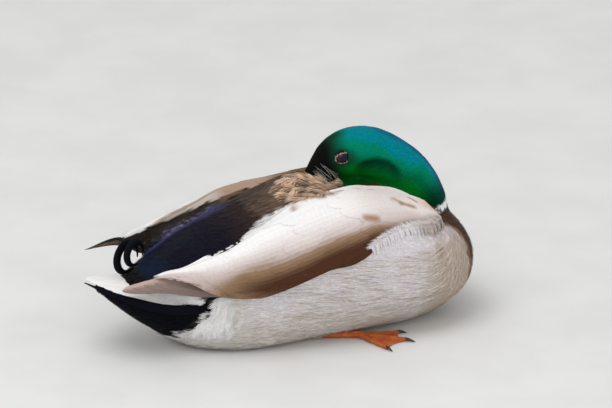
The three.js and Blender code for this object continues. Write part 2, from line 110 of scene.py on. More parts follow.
def paint(*rgb):
    "A colour as seen on screen, 0 to 255, as the light-linear numbers that shaders use."
    c = np.asarray(rgb, float) / 255
    return np.where(c <= 0.04045, c / 12.92, ((c + 0.055) / 1.055) ** 2.4)


def add_object(name, data):
    "A new object in the scene."
    thing = bpy.data.objects.new(name, data)
    bpy.context.scene.collection.objects.link(thing)
    return thing


print("our zero lies at X =", round(-ahead, 2), "mm in the model's frame")

# %% [markdown]
# ## Camera, floor and light
# The camera stands in front of the bird's right side, 20 degrees towards its tail, and looks down by 22
# degrees. A very long lens from far away keeps the shape plain. The floor is a wide pale sheet, and the
# light is a soft white sky with a large lamp above and a softer one before the bird's right side, as on
# an overcast day. Colours then render about as they are written.

# %% Camera
AZIMUTH, ELEVATION, DISTANCE = math.radians(-20), math.radians(22), 14.0
aim = Vector(place((33.3, 36.1, 112.2)))
level = math.cos(ELEVATION)
back = Vector((math.sin(AZIMUTH) * level, -math.cos(AZIMUTH) * level, math.sin(ELEVATION)))


def look_from(thing, way, distance):
    "Puts a camera or a lamp some metres from the bird, and turns it to the bird."
    thing.location = aim + way * distance
    thing.rotation_mode = "QUATERNION"
    thing.rotation_quaternion = (-way).to_track_quat("-Z", "Y")


camera = add_object("camera", bpy.data.cameras.new("camera"))
look_from(camera, back, DISTANCE)
camera.data.sensor_width = 36
camera.data.lens = 36 * DISTANCE / 0.612  # the picture is 612 mm wide at the bird
camera.data.clip_end = 50
bpy.context.scene.camera = camera
print("lens:", round(camera.data.lens), "mm")

# %% [markdown]
# ## Writing shaders as sums
# Every finish is a small sum of patterns. One class wraps a socket, so that plus and times add the
# Math nodes for us, and its node method makes any other node.


# %% A wire between nodes
class Wire:
    def __init__(self, tree, socket=None):
        self.tree, self.socket = tree, socket

    def node(self, kind, settings=None, out=0, **sockets):
        "Adds a node. A socket is named, or given by number as _3; its value is a number, colour or wire."
        made = self.tree.nodes.new(kind)
        for key, value in (settings or {}).items():
            setattr(made, key, value)
        for key, value in sockets.items():
            socket = made.inputs[int(key[1:]) if key.startswith("_") else key.replace("_", " ")]
            if isinstance(value, Wire):
                self.tree.links.new(value.socket, socket)
            else:
                socket.default_value = value
        return Wire(self.tree, made.outputs[out])

    def maths(self, operation, a, b=0.0):
        return self.node("ShaderNodeMath", {"operation": operation}, _0=a, _1=b)

    def __add__(self, other):
        return self.maths("ADD", self, other)

    def __sub__(self, other):
        return self.maths("SUBTRACT", self, other)

    def __rsub__(self, other):
        return self.maths("SUBTRACT", other, self)

    def __mul__(self, other):
        return self.maths("MULTIPLY", self, other)

    __radd__, __rmul__ = __add__, __mul__

    def wave(self):
        return self.maths("SINE", self)

    def size(self):
        return self.maths("ABSOLUTE", self)

    def between(self, low, high):
        "0 below low, 1 above high."
        return self.node("ShaderNodeMapRange", {"interpolation_type": "SMOOTHSTEP"},
                         Value=self, From_Min=low, From_Max=high)

    def blend(self, a, b):
        "Colour a where this is 0, and b where it is 1."
        return self.node("ShaderNodeMix", {"data_type": "RGBA"}, out=2, _0=self, _6=a, _7=b)


def rgba(*rgb):
    "A colour as seen on screen, for a colour socket."
    return (*[float(c) for c in paint(*rgb)], 1.0)


def finish_of(name, settings, build):
    "A material whose Principled shader has fixed settings, and what build(wire) returns for the rest."
    made = bpy.data.materials.new(name)
    made.use_nodes = True
    tree = made.node_tree
    shader = tree.nodes["Principled BSDF"]
    for key, value in settings.items():
        shader.inputs[key].default_value = value
    for key, wire in build(Wire(tree)).items():
        tree.links.new(wire.socket, shader.inputs[key])
    made.diffuse_color = (0.5, 0.5, 0.5, 1)
    return made


def in_space(wire):
    "A place in the bird's own space, in metres."
    return wire.node("ShaderNodeTexCoord", out=3)


def speckle(wire, size, detail=3.0):
    "Noise in the bird's own space; size in mm."
    return wire.node("ShaderNodeTexNoise", Vector=in_space(wire), Scale=1000 / size, Detail=detail)


def attribute(wire, name, out):
    "A value stored on the mesh's points."
    return wire.node("ShaderNodeAttribute", {"attribute_name": name}, out=out)


def part_of(wire, axis):
    "One of the three numbers of a vector."
    return wire.node("ShaderNodeSeparateXYZ", out=axis, Vector=wire)


def vector_maths(wire, operation, a, b, out=0):
    return wire.node("ShaderNodeVectorMath", {"operation": operation}, out=out, _0=a, _1=b)


def scaled(wire, colour, by):
    "A colour made lighter or darker by a number or wire."
    return wire.node("ShaderNodeVectorMath", {"operation": "SCALE"}, _0=colour, Scale=by)


def bumps(wire, strength, deep, height):
    "Relief up to deep mm, from a pattern."
    return wire.node("ShaderNodeBump", Strength=strength, Distance=deep / 1000, Height=height)


# %% Floor
def floor_finish(wire):
    grain = speckle(wire, 90, 4.0)
    return {"Base Color": grain.between(0.3, 0.7).blend(rgba(226, 226, 224), rgba(232, 232, 231)),
            "Roughness": 0.85 + 0.1 * speckle(wire, 6)}


sheet = bmesh.new()
bmesh.ops.create_grid(sheet, x_segments=4, y_segments=4, size=6)
floor = add_object("floor", bpy.data.meshes.new("floor"))
sheet.to_mesh(floor.data)
sheet.free()
floor.data.materials.append(finish_of("floor_paper", {"Specular IOR Level": 0.2}, floor_finish))

# %% Light
SKY, KEY, FILL = 0.72, 14.3, 8.8
world = bpy.data.worlds.new("studio")
world.use_nodes = True
world.node_tree.nodes["Background"].inputs["Color"].default_value = (1, 1, 1, 1)
world.node_tree.nodes["Background"].inputs["Strength"].default_value = SKY
bpy.context.scene.world = world
bpy.context.scene.view_settings.view_transform = "Standard"


def lamp(name, way, distance, width, power):
    "A square lamp that looks at the bird from the given way."
    light = add_object(name, bpy.data.lights.new(name, "AREA"))
    light.data.size, light.data.energy = width, power
    look_from(light, Vector(way).normalized(), distance)


lamp("key", (-0.35, -0.25, 1.0), 2.2, 1.3, KEY)
lamp("fill", (-0.2, -1.0, 0.35), 2.4, 1.6, FILL)
print("lights: sky", SKY, "and lamps of", KEY, "and", FILL, "W")

# %% [markdown]
# ## One skin for the whole body
# On the real bird trunk, neck, head and wings share one skin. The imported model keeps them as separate
# solids with thin gaps. We could bridge the gaps by hand, but a voxel remesh closes them all at once: the
# solids are swollen by half a millimetre so that they touch, joined, and turned into one even net. The
# net is then smoothed and drawn in by the depth of the coat, which differs from the face to the flank.

# %% Swell and join the flesh
FLESH = ("trunk", "undertail", "neck", "head", "wing_left", "wing_right")
TRUNK, UNDERTAIL, NECK, HEAD, WING_LEFT, WING_RIGHT = range(len(FLESH))
BODY_NET, LEG_NET, BILL_NET = 2.2, 0.8, 0.7  # how far apart the points of each net are, mm


def copy_of(node, swell=0.0):
    "A node's mesh as a merged bmesh, swollen by some metres."
    made = bmesh.new()
    made.from_mesh(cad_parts[node].data)
    bmesh.ops.remove_doubles(made, verts=made.verts, dist=1e-5)
    made.normal_update()
    for vert in made.verts:
        vert.co += vert.normal * swell
    return made


def add_to(whole, part):
    "Adds one bmesh to another and frees it."
    mesh = bpy.data.meshes.new("part")
    part.to_mesh(mesh)
    part.free()
    whole.from_mesh(mesh)
    bpy.data.meshes.remove(mesh)


def to_object(made, name, material=None):
    "A bmesh as a smooth object at the origin."
    thing = add_object(name, bpy.data.meshes.new(name))
    made.to_mesh(thing.data)
    made.free()
    thing.data.shade_smooth()
    if material:
        thing.data.materials.append(material)
    return thing


nearest_flesh = {}
together = bmesh.new()
for node in FLESH:
    part = copy_of(node, 0.0005)
    nearest_flesh[node] = BVHTree.FromBMesh(part)
    add_to(together, part)
print("joined flesh:", len(together.faces), "faces")


# %% Remesh to an even net
def relax(made, rounds):
    "Each point goes halfway to its neighbours' middle, some times over."
    for _ in range(rounds):
        bmesh.ops.smooth_vert(made, verts=made.verts, factor=0.5,
                              use_axis_x=True, use_axis_y=True, use_axis_z=True)


def even_net(made, voxel):
    "A bmesh turned into one even closed net, with points voxel mm apart."
    thing = to_object(made, "rough_shape")
    remesh = thing.modifiers.new("even_net", "REMESH")
    remesh.mode, remesh.voxel_size = "VOXEL", voxel / 1000
    mesh = bpy.data.meshes.new_from_object(thing.evaluated_get(bpy.context.evaluated_depsgraph_get()))
    bpy.data.objects.remove(thing)
    result = bmesh.new()
    result.from_mesh(mesh)
    bpy.data.meshes.remove(mesh)
    return result


net = even_net(together, BODY_NET)
shells, left = [], set(net.verts)
while left:  # a hollow inside the solids leaves a loose inner shell, which is dropped
    seed = left.pop()
    shell, edge = {seed}, [seed]
    while edge:
        for link in edge.pop().link_edges:
            for vert in link.verts:
                if vert in left:
                    left.discard(vert)
                    shell.add(vert)
                    edge.append(vert)
    shells.append(shell)
shells.sort(key=len, reverse=True)
bmesh.ops.delete(net, geom=[v for shell in shells[1:] for v in shell], context="VERTS")
print("net:", len(net.verts), "points,", len(shells) - 1, "loose shells dropped")

# %% Which part of the bird is each point on
def points_of(made):
    return np.array([v.co for v in made.verts])


def part_names(points):
    "For each point in metres, the flesh node whose surface is nearest."
    far = np.array([[nearest_flesh[n].find_nearest(p)[3] for n in FLESH] for p in points.tolist()])
    return far.argmin(1)


relax(net, 5)
part_at = part_names(points_of(net))
print({n: int((part_at == i).sum()) for i, n in enumerate(FLESH)})

# %% [markdown]
# ## Lines that the feathers follow
# Feathers lie along the body like tiles: from the bill over crown and nape to the foot of the neck, down
# the breast, and back along the flanks and wings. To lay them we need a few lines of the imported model
# again: the bent line through head and neck, and the outer surface of a folded wing. They are repeated
# here in duck millimetres.


# %% Smooth rows
def smooth_rows(rows):
    "Reads a table smoothly: the first column is where, and the rest are values there."
    rows = np.asarray(rows, float)
    at, values = rows[:, 0], rows[:, 1:]
    before, after = np.maximum(np.arange(len(at)) - 1, 0), np.minimum(np.arange(len(at)) + 1, len(at) - 1)
    slopes = (values[after] - values[before]) / (at[after] - at[before])[:, None]

    def read(x):
        x = np.asarray(x, float)
        i = np.clip(np.searchsorted(at, x, side="right") - 1, 0, len(at) - 2)
        span = (at[i + 1] - at[i])[..., None]
        t = (x - at[i])[..., None] / span
        a, rise = values[i], values[i + 1] - values[i]
        ma, mb = slopes[i] * span, slopes[i + 1] * span
        return a + t * (ma + t * (3 * rise - 2 * ma - mb + t * (ma + mb - 2 * rise)))

    return read


# %% The line through head and neck
# from the bill's root to the foot of the neck: x, z, half depth, half width
HEAD_AND_NECK = [
    (25, 154, 7.5, 8), (30, 159.5, 11.5, 11.5), (38, 165.5, 16, 15), (48, 172, 21.5, 18),
    (60, 176, 25, 20.5), (74, 177.3, 26, 22), (90, 173.5, 26, 22.5), (106, 164.5, 25, 22.5),
    (121, 153, 24.5, 23), (134, 138, 24, 25), (142, 120, 25, 29), (143, 100, 28, 37), (136, 80, 34, 48),
]
read_neck = smooth_rows([(i / 12, *row) for i, row in enumerate(HEAD_AND_NECK)])
neck_shares = np.linspace(0, 1, 241)
neck_points = read_neck(neck_shares)[:, :2]
neck_ways = unit(np.gradient(neck_points, axis=0))


def on_neck(points):
    "Share along the line, the way it runs there, and how far round: 1 crown or nape, -1 throat."
    gaps = np.linalg.norm(points[:, None, [0, 2]] - neck_points[None], axis=2)
    i = gaps.argmin(1)
    way = np.stack([neck_ways[i, 0], np.zeros(len(i)), neck_ways[i, 1]], 1)
    up = np.stack([-way[:, 2], np.zeros(len(i)), way[:, 0]], 1)
    off = points - np.stack([neck_points[i, 0], np.zeros(len(i)), neck_points[i, 1]], 1)
    return neck_shares[i], way, (unit(off) * up).sum(1)


# %% The outer surface of a folded wing
# x, then distance from the middle and height of its inner edge, ridge, side and lower edge
read_wing = smooth_rows([
    (-156, 31, 86, 33, 86, 35, 85.5, 37, 85), (-140, 33, 91, 38, 91.5, 44, 91, 48, 89),
    (-125, 40, 95, 47, 96.5, 53, 92, 57, 85), (-100, 43.5, 103, 54.5, 105.5, 67, 92, 72, 73),
    (-75, 45, 112.5, 58.5, 114.5, 73, 97, 79, 69), (-50, 44, 126.5, 61, 127, 80, 101, 86, 71),
    (0, 38, 149, 60, 143, 83, 116, 90, 87), (50, 34, 155, 55, 149, 76, 128, 86, 105),
    (75, 34, 152, 53, 146, 69, 130, 77, 115), (106, 37, 143, 50, 138, 62, 128, 69, 119),
    (130, 46, 131, 53, 127, 60, 121, 64, 116), (143, 52, 121, 54, 120, 56, 118.5, 57, 117.5),
])
# how the left wing differs: x, then back, inward, up, sag of the inner edge, roll of the primaries
read_left = smooth_rows([
    (-183, 14, 5, 18.8, 3, 54), (-165, 12, 4, 19.2, 4, 62), (-155, 11, 4, 18.4, 9, 67),
    (-140, 10, 3, 14, 17, 72), (-125, 9, 3, 10, 18, 78), (-105, 7, 2, 11, 16, 84),
    (-70, 4, 1, 8, 10, 84), (-35, 2, 0, 2, 8, 0), (0, 0, 0, -5, 5, 0), (50, 0, 0, -5, 0, 0),
    (143, 0, 0, -3, 0, 0),
])
SIDES = {"left": 1, "right": -1}


def wing_shift(x, sign):
    return read_left(x) * (sign > 0)


def wing_at(x, share, sign):
    "The point of a wing's outer surface at x and a share of the way from its inner to its lower edge."
    x, share = np.broadcast_arrays(np.asarray(x, float), np.asarray(share, float))
    shift = wing_shift(x, sign)
    knots = read_wing(x).reshape(*x.shape, 4, 2)
    knots[..., 0, 1] -= shift[..., 3]
    ends = [2 * knots[..., :1, :] - knots[..., 1:2, :], knots, 2 * knots[..., 3:, :] - knots[..., 2:3, :]]
    knots = np.concatenate(ends, axis=-2)
    t = share * 3
    i = np.clip(np.floor(t).astype(int), 0, 2)
    t = (t - i)[..., None]
    a, b, c, d = [np.take_along_axis(knots, (i + k)[..., None, None], axis=-2)[..., 0, :] for k in range(4)]
    yz = 0.5 * (2 * b + (c - a) * t + (2 * a - 5 * b + 4 * c - d) * t**2 + (3 * b - a - 3 * c + d) * t**3)
    return np.stack([x - shift[..., 0], sign * (yz[..., 0] - shift[..., 1]), yz[..., 1] + shift[..., 2]], -1)


def lower_edge(sign):
    "Points along a wing's lower edge."
    return wing_at(np.linspace(-84, 142, 114), np.ones(114), sign)


def wing_share(points, sign):
    "Where a point near a wing lies on it: x along the wing, and the share from inner to lower edge."
    x = points[:, 0] + wing_shift(points[:, 0], sign)[:, 0]
    shares = np.linspace(0, 1, 25)
    grid = wing_at(np.repeat(x[:, None], 25, 1), np.repeat(shares[None], len(x), 0), sign)
    return x, shares[np.linalg.norm((grid - points[:, None])[..., 1:], axis=2).argmin(1)]


steps = np.linalg.norm(np.diff(neck_points, axis=0), axis=1)
print("head and neck line:", round(float(steps.sum())), "mm long")

# %% [markdown]
# ## The markings
# A drake wears a green head, a white ring, a chestnut breast, finely lined grey flanks, pale shoulder
# feathers that turn brown at their lower edge, a brown back that darkens to a black rump, and a white
# patch before the black under the tail. One function says which colour belongs where, and both the skin
# and every feather ask it, so that they always agree. It works from places on the body and soft edges.
# It also paints shade under the cheek's fold, round the eye, under the head and along the left wing's inner
# edge, and sheen on head and rump.

# %% The palette
GREY, WARM, BELLY = paint(248, 242, 246), paint(226, 216, 202), paint(238, 233, 227)
CHESTNUT, RUST = paint(82, 54, 40), paint(160, 122, 94)
WHITE, SHELL = paint(250, 248, 247), paint(230, 221, 217)
SAND, TAN = paint(208, 191, 187), paint(146, 116, 88)
BROWN, UMBER, SLATE = paint(76, 44, 26), paint(54, 42, 38), paint(120, 110, 104)
MANTLE = paint(116, 92, 74)
RUMP, BLUE_BLACK, BLACK = paint(26, 24, 34), paint(26, 38, 58), paint(12, 12, 13)
PURPLE_SHEEN, SANDY = paint(92, 90, 140), paint(206, 186, 164)
TEAL_SHEEN, EMERALD, GREEN, MOSS = paint(1, 138, 152), paint(1, 138, 106), paint(1, 106, 62), paint(2, 122, 36)
FACE, BLUE_SHEEN = paint(16, 14, 13), paint(4, 78, 130)


def mix(a, b, share):
    return a + (b - a) * np.asarray(share)[..., None]


# %% Head, neck and body
EYE, EYE_RADIUS = np.array([53, 13.4, 179]), 7.4  # the left eye's middle, and its size, in mm
# x and z of the fold behind the cheek
CREASE = np.array([(62, 170), (74, 175.5), (87, 177), (100, 173), (110, 163), (117, 154)])


def crease(p, soft):
    "1 just under the fold behind the cheek, fading below it over some mm and ending short above it."
    x, y, z = p.T
    under = np.interp(x, CREASE[:, 0], CREASE[:, 1]) - z
    along = smooth(x, 58, 74) * (1 - smooth(x, 104, 118))
    return smooth(under, -2.5, 3.5) * (1 - smooth(under, 3, soft)) * along * smooth(np.abs(y), 10, 16)


def head_colour(p):
    share, _, round_at = on_neck(p)
    x, y, z = p.T
    stray = ripple(p, 30, 1) * 0.08
    # Painted iridescent sheen: by round_at, the way the feathers face, the green turns emerald, teal and blue
    # where it faces up, and moss where it faces down.
    high = round_at + stray + 0.32 * smooth(share, 0.26, 0.44) * (1 - smooth(share, 0.62, 0.74))
    colour = mix(MOSS + 0 * p, GREEN, smooth(high, -0.3, 0.2))
    colour = mix(colour, EMERALD, smooth(high, 0.1, 0.66))
    colour = mix(colour, TEAL_SHEEN, smooth(high + 0.3 * smooth(x, 84, 108), 0.86, 1.14) * smooth(x, 50, 66))
    colour = mix(colour, BLUE_SHEEN, smooth(round_at + stray * 0.5, 0.86, 1.0) * 0.8 * smooth(x, 84, 104))
    ahead_of_eye = smooth(61 - x + 0.3 * (176 - z) * (z < 176) + 6 * stray, 0, 24)
    brow = smooth(50 - x + (z - 190) * 1.3, 0, 13) * 0.9
    colour = mix(colour, FACE, np.maximum(ahead_of_eye**0.8, brow))
    # Painted shade: the green is darkened in an oval round the eye's hollow.
    round_eye = 1 - smooth(np.hypot((x - EYE[0] - 1) / 13, (z - EYE[2]) / 10.5), 0.6, 1.35)
    colour = mix(colour, paint(18, 44, 34), 0.62 * round_eye)
    # Painted shade under the fold behind the cheek, where the neck bulges over it; the fold's dip itself is
    # in the skin's depth.
    colour = colour * (0.93 - 0.71 * crease(p, 22))[:, None]
    colour = colour * (1 - 0.82 * smooth(share, 0.72, 0.835))[:, None]
    ring = smooth(share, 0.848, 0.852) * (1 - smooth(share, 0.866, 0.874))
    return mix(colour, WHITE, ring)


RUSTY_SPOT = (136, -72, 88)  # a stained place on the right flank, mm


def body_colour(p, n):
    x, y, z = p.T
    side = np.abs(y)
    stray = ripple(p, 24, 2) * 3 + ripple(p, 9, 3) * 1.5
    colour = mix(GREY + 0 * p, WARM, smooth(60 - z + stray, 0, 40) * 0.7)
    colour = mix(colour, BELLY, smooth(-40 - x + stray, 0, 50))
    colour = mix(colour, SANDY, (0.8 - 0.5 * smooth(z, 86, 104)) * smooth(x + stray * 2, 104, 138))
    above = smooth(z - 100 + stray, 0, 14) * smooth(62 - side, 0, 16)
    top = mix(MANTLE + 0 * p, UMBER, smooth(-12 - x + stray * 2, 0, 40))
    top = mix(top, RUMP, smooth(-45 - x + stray, 0, 40))
    # Painted blue sheen on the black rump, in soft waves and stronger to the left; near the tail's end the
    # rump is its own blue-black.
    sheen = smooth(ripple(p * (0.6, 1, 1), 34, 7) + 0.04 * y, 0.2, 1.1)
    top = mix(top, BLUE_BLACK, np.maximum(sheen * 0.6, smooth(-128 - x, 0, 16)) * smooth(-50 - x, 0, 40))
    # A painted purple sheen in a strip along the rump's left side.
    sheen_strip = smooth(y + stray * 0.6, 14, 30) * smooth(-44 - x, 0, 16) * (1 - smooth(-136 - x, 0, 16))
    top = mix(top, PURPLE_SHEEN, 0.7 * sheen_strip)
    colour = mix(colour, top, np.maximum(above, smooth(-60 - x, 0, 10) * smooth(z - 72, 0, 4)))
    past_edge = -y - np.interp(x, [-66, -54, -40, -26, 0], [41, 37.2, 32.4, 30, 29.6])
    beside_wing = smooth(past_edge, 0, 1.6) * smooth(x, -66, -60) * (1 - smooth(x, -4, 6))
    colour = mix(colour, WHITE, beside_wing * (z > 100))
    front = 0.43 * (x - 60) - side + stray - 5 + np.where(z > 96, (z - 96) * 1.2, 0)
    colour = mix(colour, RUST, smooth(front, -7, -1) * (1 - smooth(-x, -75, -62)))
    from_spot = np.linalg.norm((p - RUSTY_SPOT) / (6, 9, 6), axis=1)
    colour = mix(colour, RUST, 0.6 * (1 - smooth(from_spot, 0.3, 1.2)))
    colour = mix(colour, CHESTNUT, smooth(front, 0, 6) * smooth(x, 62, 78))
    # Painted shade: under the head the mantle takes the head's green, darkened.
    beside_head = smooth(x, 46, 54) * smooth(z, 141, 147) * (1 - smooth(x, 110, 120))
    colour = mix(colour, MOSS * 0.6, beside_head)
    under_tail = smooth(-94 - x + stray * 0.7 + 0.78 * (z - 64), -1, 2)
    under_tail = under_tail * smooth(z, 24, 30) * (1 - smooth(z, 78, 84))
    patch = smooth(-84 - x + stray, -6, 6) * smooth(76 - z, 0, 6) * smooth(z, 6, 30)
    colour = mix(colour, WHITE, patch * (1 - under_tail))
    tail_side = smooth(-107 - x, 0, 3) * smooth(z, 56.5, 58.5) * (1 - smooth(z, 80, 82))
    tail_side = tail_side * smooth(side, 24, 30)
    return mix(mix(colour, BLACK, under_tail), WHITE, tail_side * (n[:, 0] < 0.9))


# brown marks on the right wing: from, to, half width in mm, and strength
MARKS = [
    ((94, -49, 142.6), (102, -53, 137.5), 2.6, 0.6), ((102, -53, 137.5), (115, -54, 132), 2.4, 0.85),
    ((113, -43, 138.6), (120, -47, 134), 1.4, 0.8), ((58, -69, 133.5), (70, -70, 132), 4.2, 0.9),
    ((15, -39, 152), (35, -40.5, 153), 4, 0.85), ((-9, -40, 147), (-9, -48, 145), 4, 0.8),
]
COFFEE, SHADOW_LINE, LILAC = paint(46, 38, 31), paint(22, 13, 6), paint(104, 98, 122)
# x, and the share of the left wing at which its dark inner part ends
BAND = np.array([(-150, 0.36), (-126, 0.33), (-110, 0.235), (-94, 0.172), (-78, 0.166), (-62, 0.125),
                 (-46, 0.11), (-30, 0.115), (-14, 0.04), (2, 0.06), (20, 0.1)])


def crest_colour(p, x, share, colour):
    """The inner edge of the left wing: dark with grey streaks, partly painted shade, a painted shadow line,
    then a pale band, tan in front.
    """
    reach = share / np.interp(x, BAND[:, 0], BAND[:, 1])
    fine, rear = smooth(ripple(p * (0.25, 2, 2), 5, 5), -0.6, 0.6), smooth(-x, 44, 58)
    streaked_part = smooth(-x, 52, 64) * (1 - smooth(-x, 108, 122)) * (1 - smooth(reach, 0.3, 0.5))
    inside = mix(COFFEE + 0 * p, LILAC, fine * streaked_part)
    # Further forward the inside is the mantle's brown, darkened as painted shade.
    inside = mix(MANTLE * 0.8 + 0 * p, inside, rear)
    # A painted shadow line just inside the pale band.
    inside = mix(inside, SHADOW_LINE, smooth(reach, 0.74, 0.84))
    fine_line = smooth(share, 0.235, 0.25) * (1 - smooth(share, 0.26, 0.275))
    pale = mix(paint(198, 184, 174) + 0 * p, paint(160, 145, 130), fine_line)
    tan = mix(paint(176, 148, 128) + 0 * p, paint(112, 84, 56), smooth(x, -10, 20))
    outside = mix(tan, pale, rear)
    crest = mix(inside, outside, smooth(reach, 0.97, 1.05))
    return mix(crest, colour, smooth(share, 0.29, 0.31) * rear + smooth(share, 0.34, 0.46) * (1 - rear))


def wing_colour(p, sign):
    x, exact = wing_share(p, sign)
    share = exact + ripple(p * (0.4, 1, 1), 40, 4) * 0.02
    colour = mix(WHITE + 0 * p, SHELL, smooth(x, 20, 80))
    band = share - 0.05 * smooth(x, 10, 60)
    colour = mix(colour, SAND, smooth(band, 0.39, 0.68) * 0.95)
    low = smooth(band, 0.54, 0.96) * smooth(x, -136, -34) * (1 - 0.72 * smooth(x, 58, 94))
    colour = mix(colour, TAN, smooth(low, 0, 0.4))
    colour = mix(colour, BROWN, smooth(low, 0.34, 0.9))
    colour = mix(colour, TAN, smooth(share, 0.93, 1.0) * (1 - smooth(x, -70, -30)) * 0.5)
    if sign > 0:
        return crest_colour(p, x, exact, colour)
    colour = mix(colour, paint(206, 164, 132), 0.55 * smooth(x, 118, 132) * (1 - smooth(share, 0.15, 0.4)))
    for start, end, across, strength in MARKS:
        start, way = np.array(start), np.subtract(end, start)
        along = np.clip(((p - start) @ way) / (way @ way), 0, 1)
        away = np.linalg.norm(p - start - along[:, None] * way, axis=1) + ripple(p, 7, 6) * 0.3
        colour = mix(colour, paint(160, 122, 96), strength * (1 - smooth(away / across, 0.1, 1.6)))
    return colour


def markings_and_shade(p, n, part):
    """Colour, with its painted shade and sheen, for points in duck mm, their outward ways, and which flesh
    node each is on.
    """
    colour = body_colour(p, n)
    side_of_tail = (p[:, 2] > 57) & (np.abs(p[:, 1]) > 34)
    on = part == UNDERTAIL
    colour[on] = np.where(side_of_tail[on, None], colour[on], BLACK)
    for wing, sign in ((WING_LEFT, 1), (WING_RIGHT, -1)):
        on = part == wing
        if on.any():
            colour[on] = wing_colour(p[on], sign)
    on = (part == NECK) | (part == HEAD)
    if on.any():
        share = on_neck(p[on])[0]
        colour[on] = mix(head_colour(p[on]), colour[on], smooth(share, 0.876, 0.882))
    return colour


print("palette ready")

# %% [markdown]
# ## Drawing the skin in, and giving it its markings and painted shade
# Down and contour feathers stand on the skin, so the skin lies a few millimetres inside the bird's
# outline. Each point moves inwards along its smoothed normal by the depth of the coat there: thin on the
# face, deeper on breast and flank.

# %% Draw the skin in
def smooth_normals(made, rounds=8):
    "Normals averaged over their neighbours, so that small facets don't show in the coat."
    made.normal_update()
    made.verts.ensure_lookup_table()
    normals = np.array([v.normal for v in made.verts])
    edges = np.array([[e.verts[0].index, e.verts[1].index] for e in made.edges])
    for _ in range(rounds):
        total = normals.copy()
        np.add.at(total, edges[:, 0], normals[edges[:, 1]])
        np.add.at(total, edges[:, 1], normals[edges[:, 0]])
        normals = unit(total)
    return normals


def coat_depth(p, part):
    "How deep the coat is, in mm."
    depth = np.full(len(p), 2.4)
    depth[(part == WING_LEFT) | (part == WING_RIGHT)] = 2.2
    depth[part == UNDERTAIL] = 2.0
    on = (part == NECK) | (part == HEAD)
    share = on_neck(p)[0]
    depth[on] = (0.6 + 1.3 * smooth(share, 0.6, 0.95) + 1.5 * crease(p, 10))[on]
    return depth


for vert in net.verts:
    vert.index = -1
net.verts.index_update()
skin_normals = smooth_normals(net)
skin_mm = own(points_of(net))
depths = coat_depth(skin_mm, part_at)
for vert, way, deep in zip(net.verts, skin_normals, depths):
    vert.co -= Vector(way) * float(deep) / 1000
    vert.co.z = max(vert.co.z, 0.0006)
relax(net, 3)
bmesh.ops.triangulate(net, faces=net.faces)
skin_normals = smooth_normals(net, 10)
skin_mm = own(points_of(net))
part_at = part_names(points_of(net))
skin_faces = np.array([[v.index for v in f.verts] for f in net.faces])
skin_tree = BVHTree.FromBMesh(net)
print("skin:", len(skin_mm), "points, coat", depths.min(), "to", round(depths.max(), 1), "mm deep")

# %% [markdown]
# ## Feather finishes
# A feather is a shaft with barbs that slant from it to both edges. At the bird's own scale that shows as
# fine slanting lines, a soft sheen, and on a drake's grey parts as thin wavy cross lines. Every vane
# carries a small map named Vane, across and along the feather, and a colour attribute named Tint whose
# last value says how strongly the cross lines show. The shader draws barbs and lines from these two, so
# one finish serves many colours, and the lines stay on the feather wherever it lies.


# %% Barbs and cross lines
def wavy(wire):
    "Long level waves where the lower flank's barbs lie side by side, broken up and fading upwards."
    height = part_of(in_space(wire), 2) * 1000
    phase = height + speckle(wire, 60, 1.0) * 22 + speckle(wire, 9, 2.0) * 5
    broken = speckle(wire, 14, 2.0).between(0.4, 0.6)
    return (phase * 2.7).wave().between(-0.1, 0.9) * broken * (1 - height.between(58.0, 96.0))


def feather_finish(name, gloss=0.55, barbs=26.0, lines=9.0, relief=0.35, faint=0.62, shaft_tone=0.8,
                   stray_by=1.6, streaks=0.0, **settings):
    "Barbs and cross lines to a feather's length, how faint the lines are, and how far they stray."
    def build(wire):
        tint, strength = attribute(wire, "Tint", 0), attribute(wire, "Tint", 3)
        vane = wire.node("ShaderNodeUVMap", {"uv_map": "Vane"})
        across, along = part_of(vane, 0), part_of(vane, 1)
        stray = speckle(wire, 5, 2.0)
        slant = (across - 0.5).size() * 2.0
        barb = ((along * 2.2 - slant * 0.8 + stray * 0.12) * (barbs * 6.28)).wave() * 0.5 + 0.5
        cross = (along * lines + slant * 0.35 + stray * stray_by) * 6.28
        cross = cross.wave().between(0.05, 0.75) * strength
        shaft = 1 - slant.between(0.0, 0.09)
        shade = scaled(wire, tint, 0.9 + barb * 0.1 + (speckle(wire, 2.2, 2.0) - 0.5) * 0.14)
        if streaks:
            shade = scaled(wire, shade, 1 - wavy(wire) * streaks)
        lined = cross.blend(shade, scaled(wire, shade, faint))
        shafted = (shaft * 0.22).blend(lined, scaled(wire, shade, shaft_tone))
        bump = bumps(wire, relief, 0.4, barb * 0.6 + shaft * 0.6 + stray * 0.4)
        return {"Base Color": shafted, "Roughness": gloss + 0.12 * barb, "Normal": bump}

    fixed = {key.replace("_", " "): value for key, value in settings.items()}
    return finish_of(name, {"Specular IOR Level": 0.25, "Sheen Roughness": 0.4, **fixed}, build)


down = feather_finish("grey_contour_feathers", Sheen_Weight=0.12)
barred = feather_finish("finely_lined_flank_feathers", lines=6.5, faint=0.74, stray_by=0.6, streaks=0.13,
                        Sheen_Weight=0.08, Specular_IOR_Level=0.15)
sleek = feather_finish("iridescent_head_feathers", gloss=0.42, relief=0.2, Specular_IOR_Level=0.07,
                       Specular_Tint=(0.1, 0.9, 0.6, 1))
dark = feather_finish("black_rump_feathers", gloss=0.45, Specular_IOR_Level=0.1,
                      Specular_Tint=(0.3, 0.4, 0.9, 1))
print("finishes:", down.name, sleek.name, dark.name)

# %% [markdown]
# ## Patterns for small feathers
# Thousands of feathers cover the body, so each is cheap: a few dozen faces at most. A loose contour
# feather is a fan of narrow barb strips, open at its tip. A tight one is a small oval vane with a few
# splits. On the head they are tiny leaves. Each pattern is made once with a grid per strip, in feather
# sizes: across from -0.5 to 0.5, along from 0 to 1.

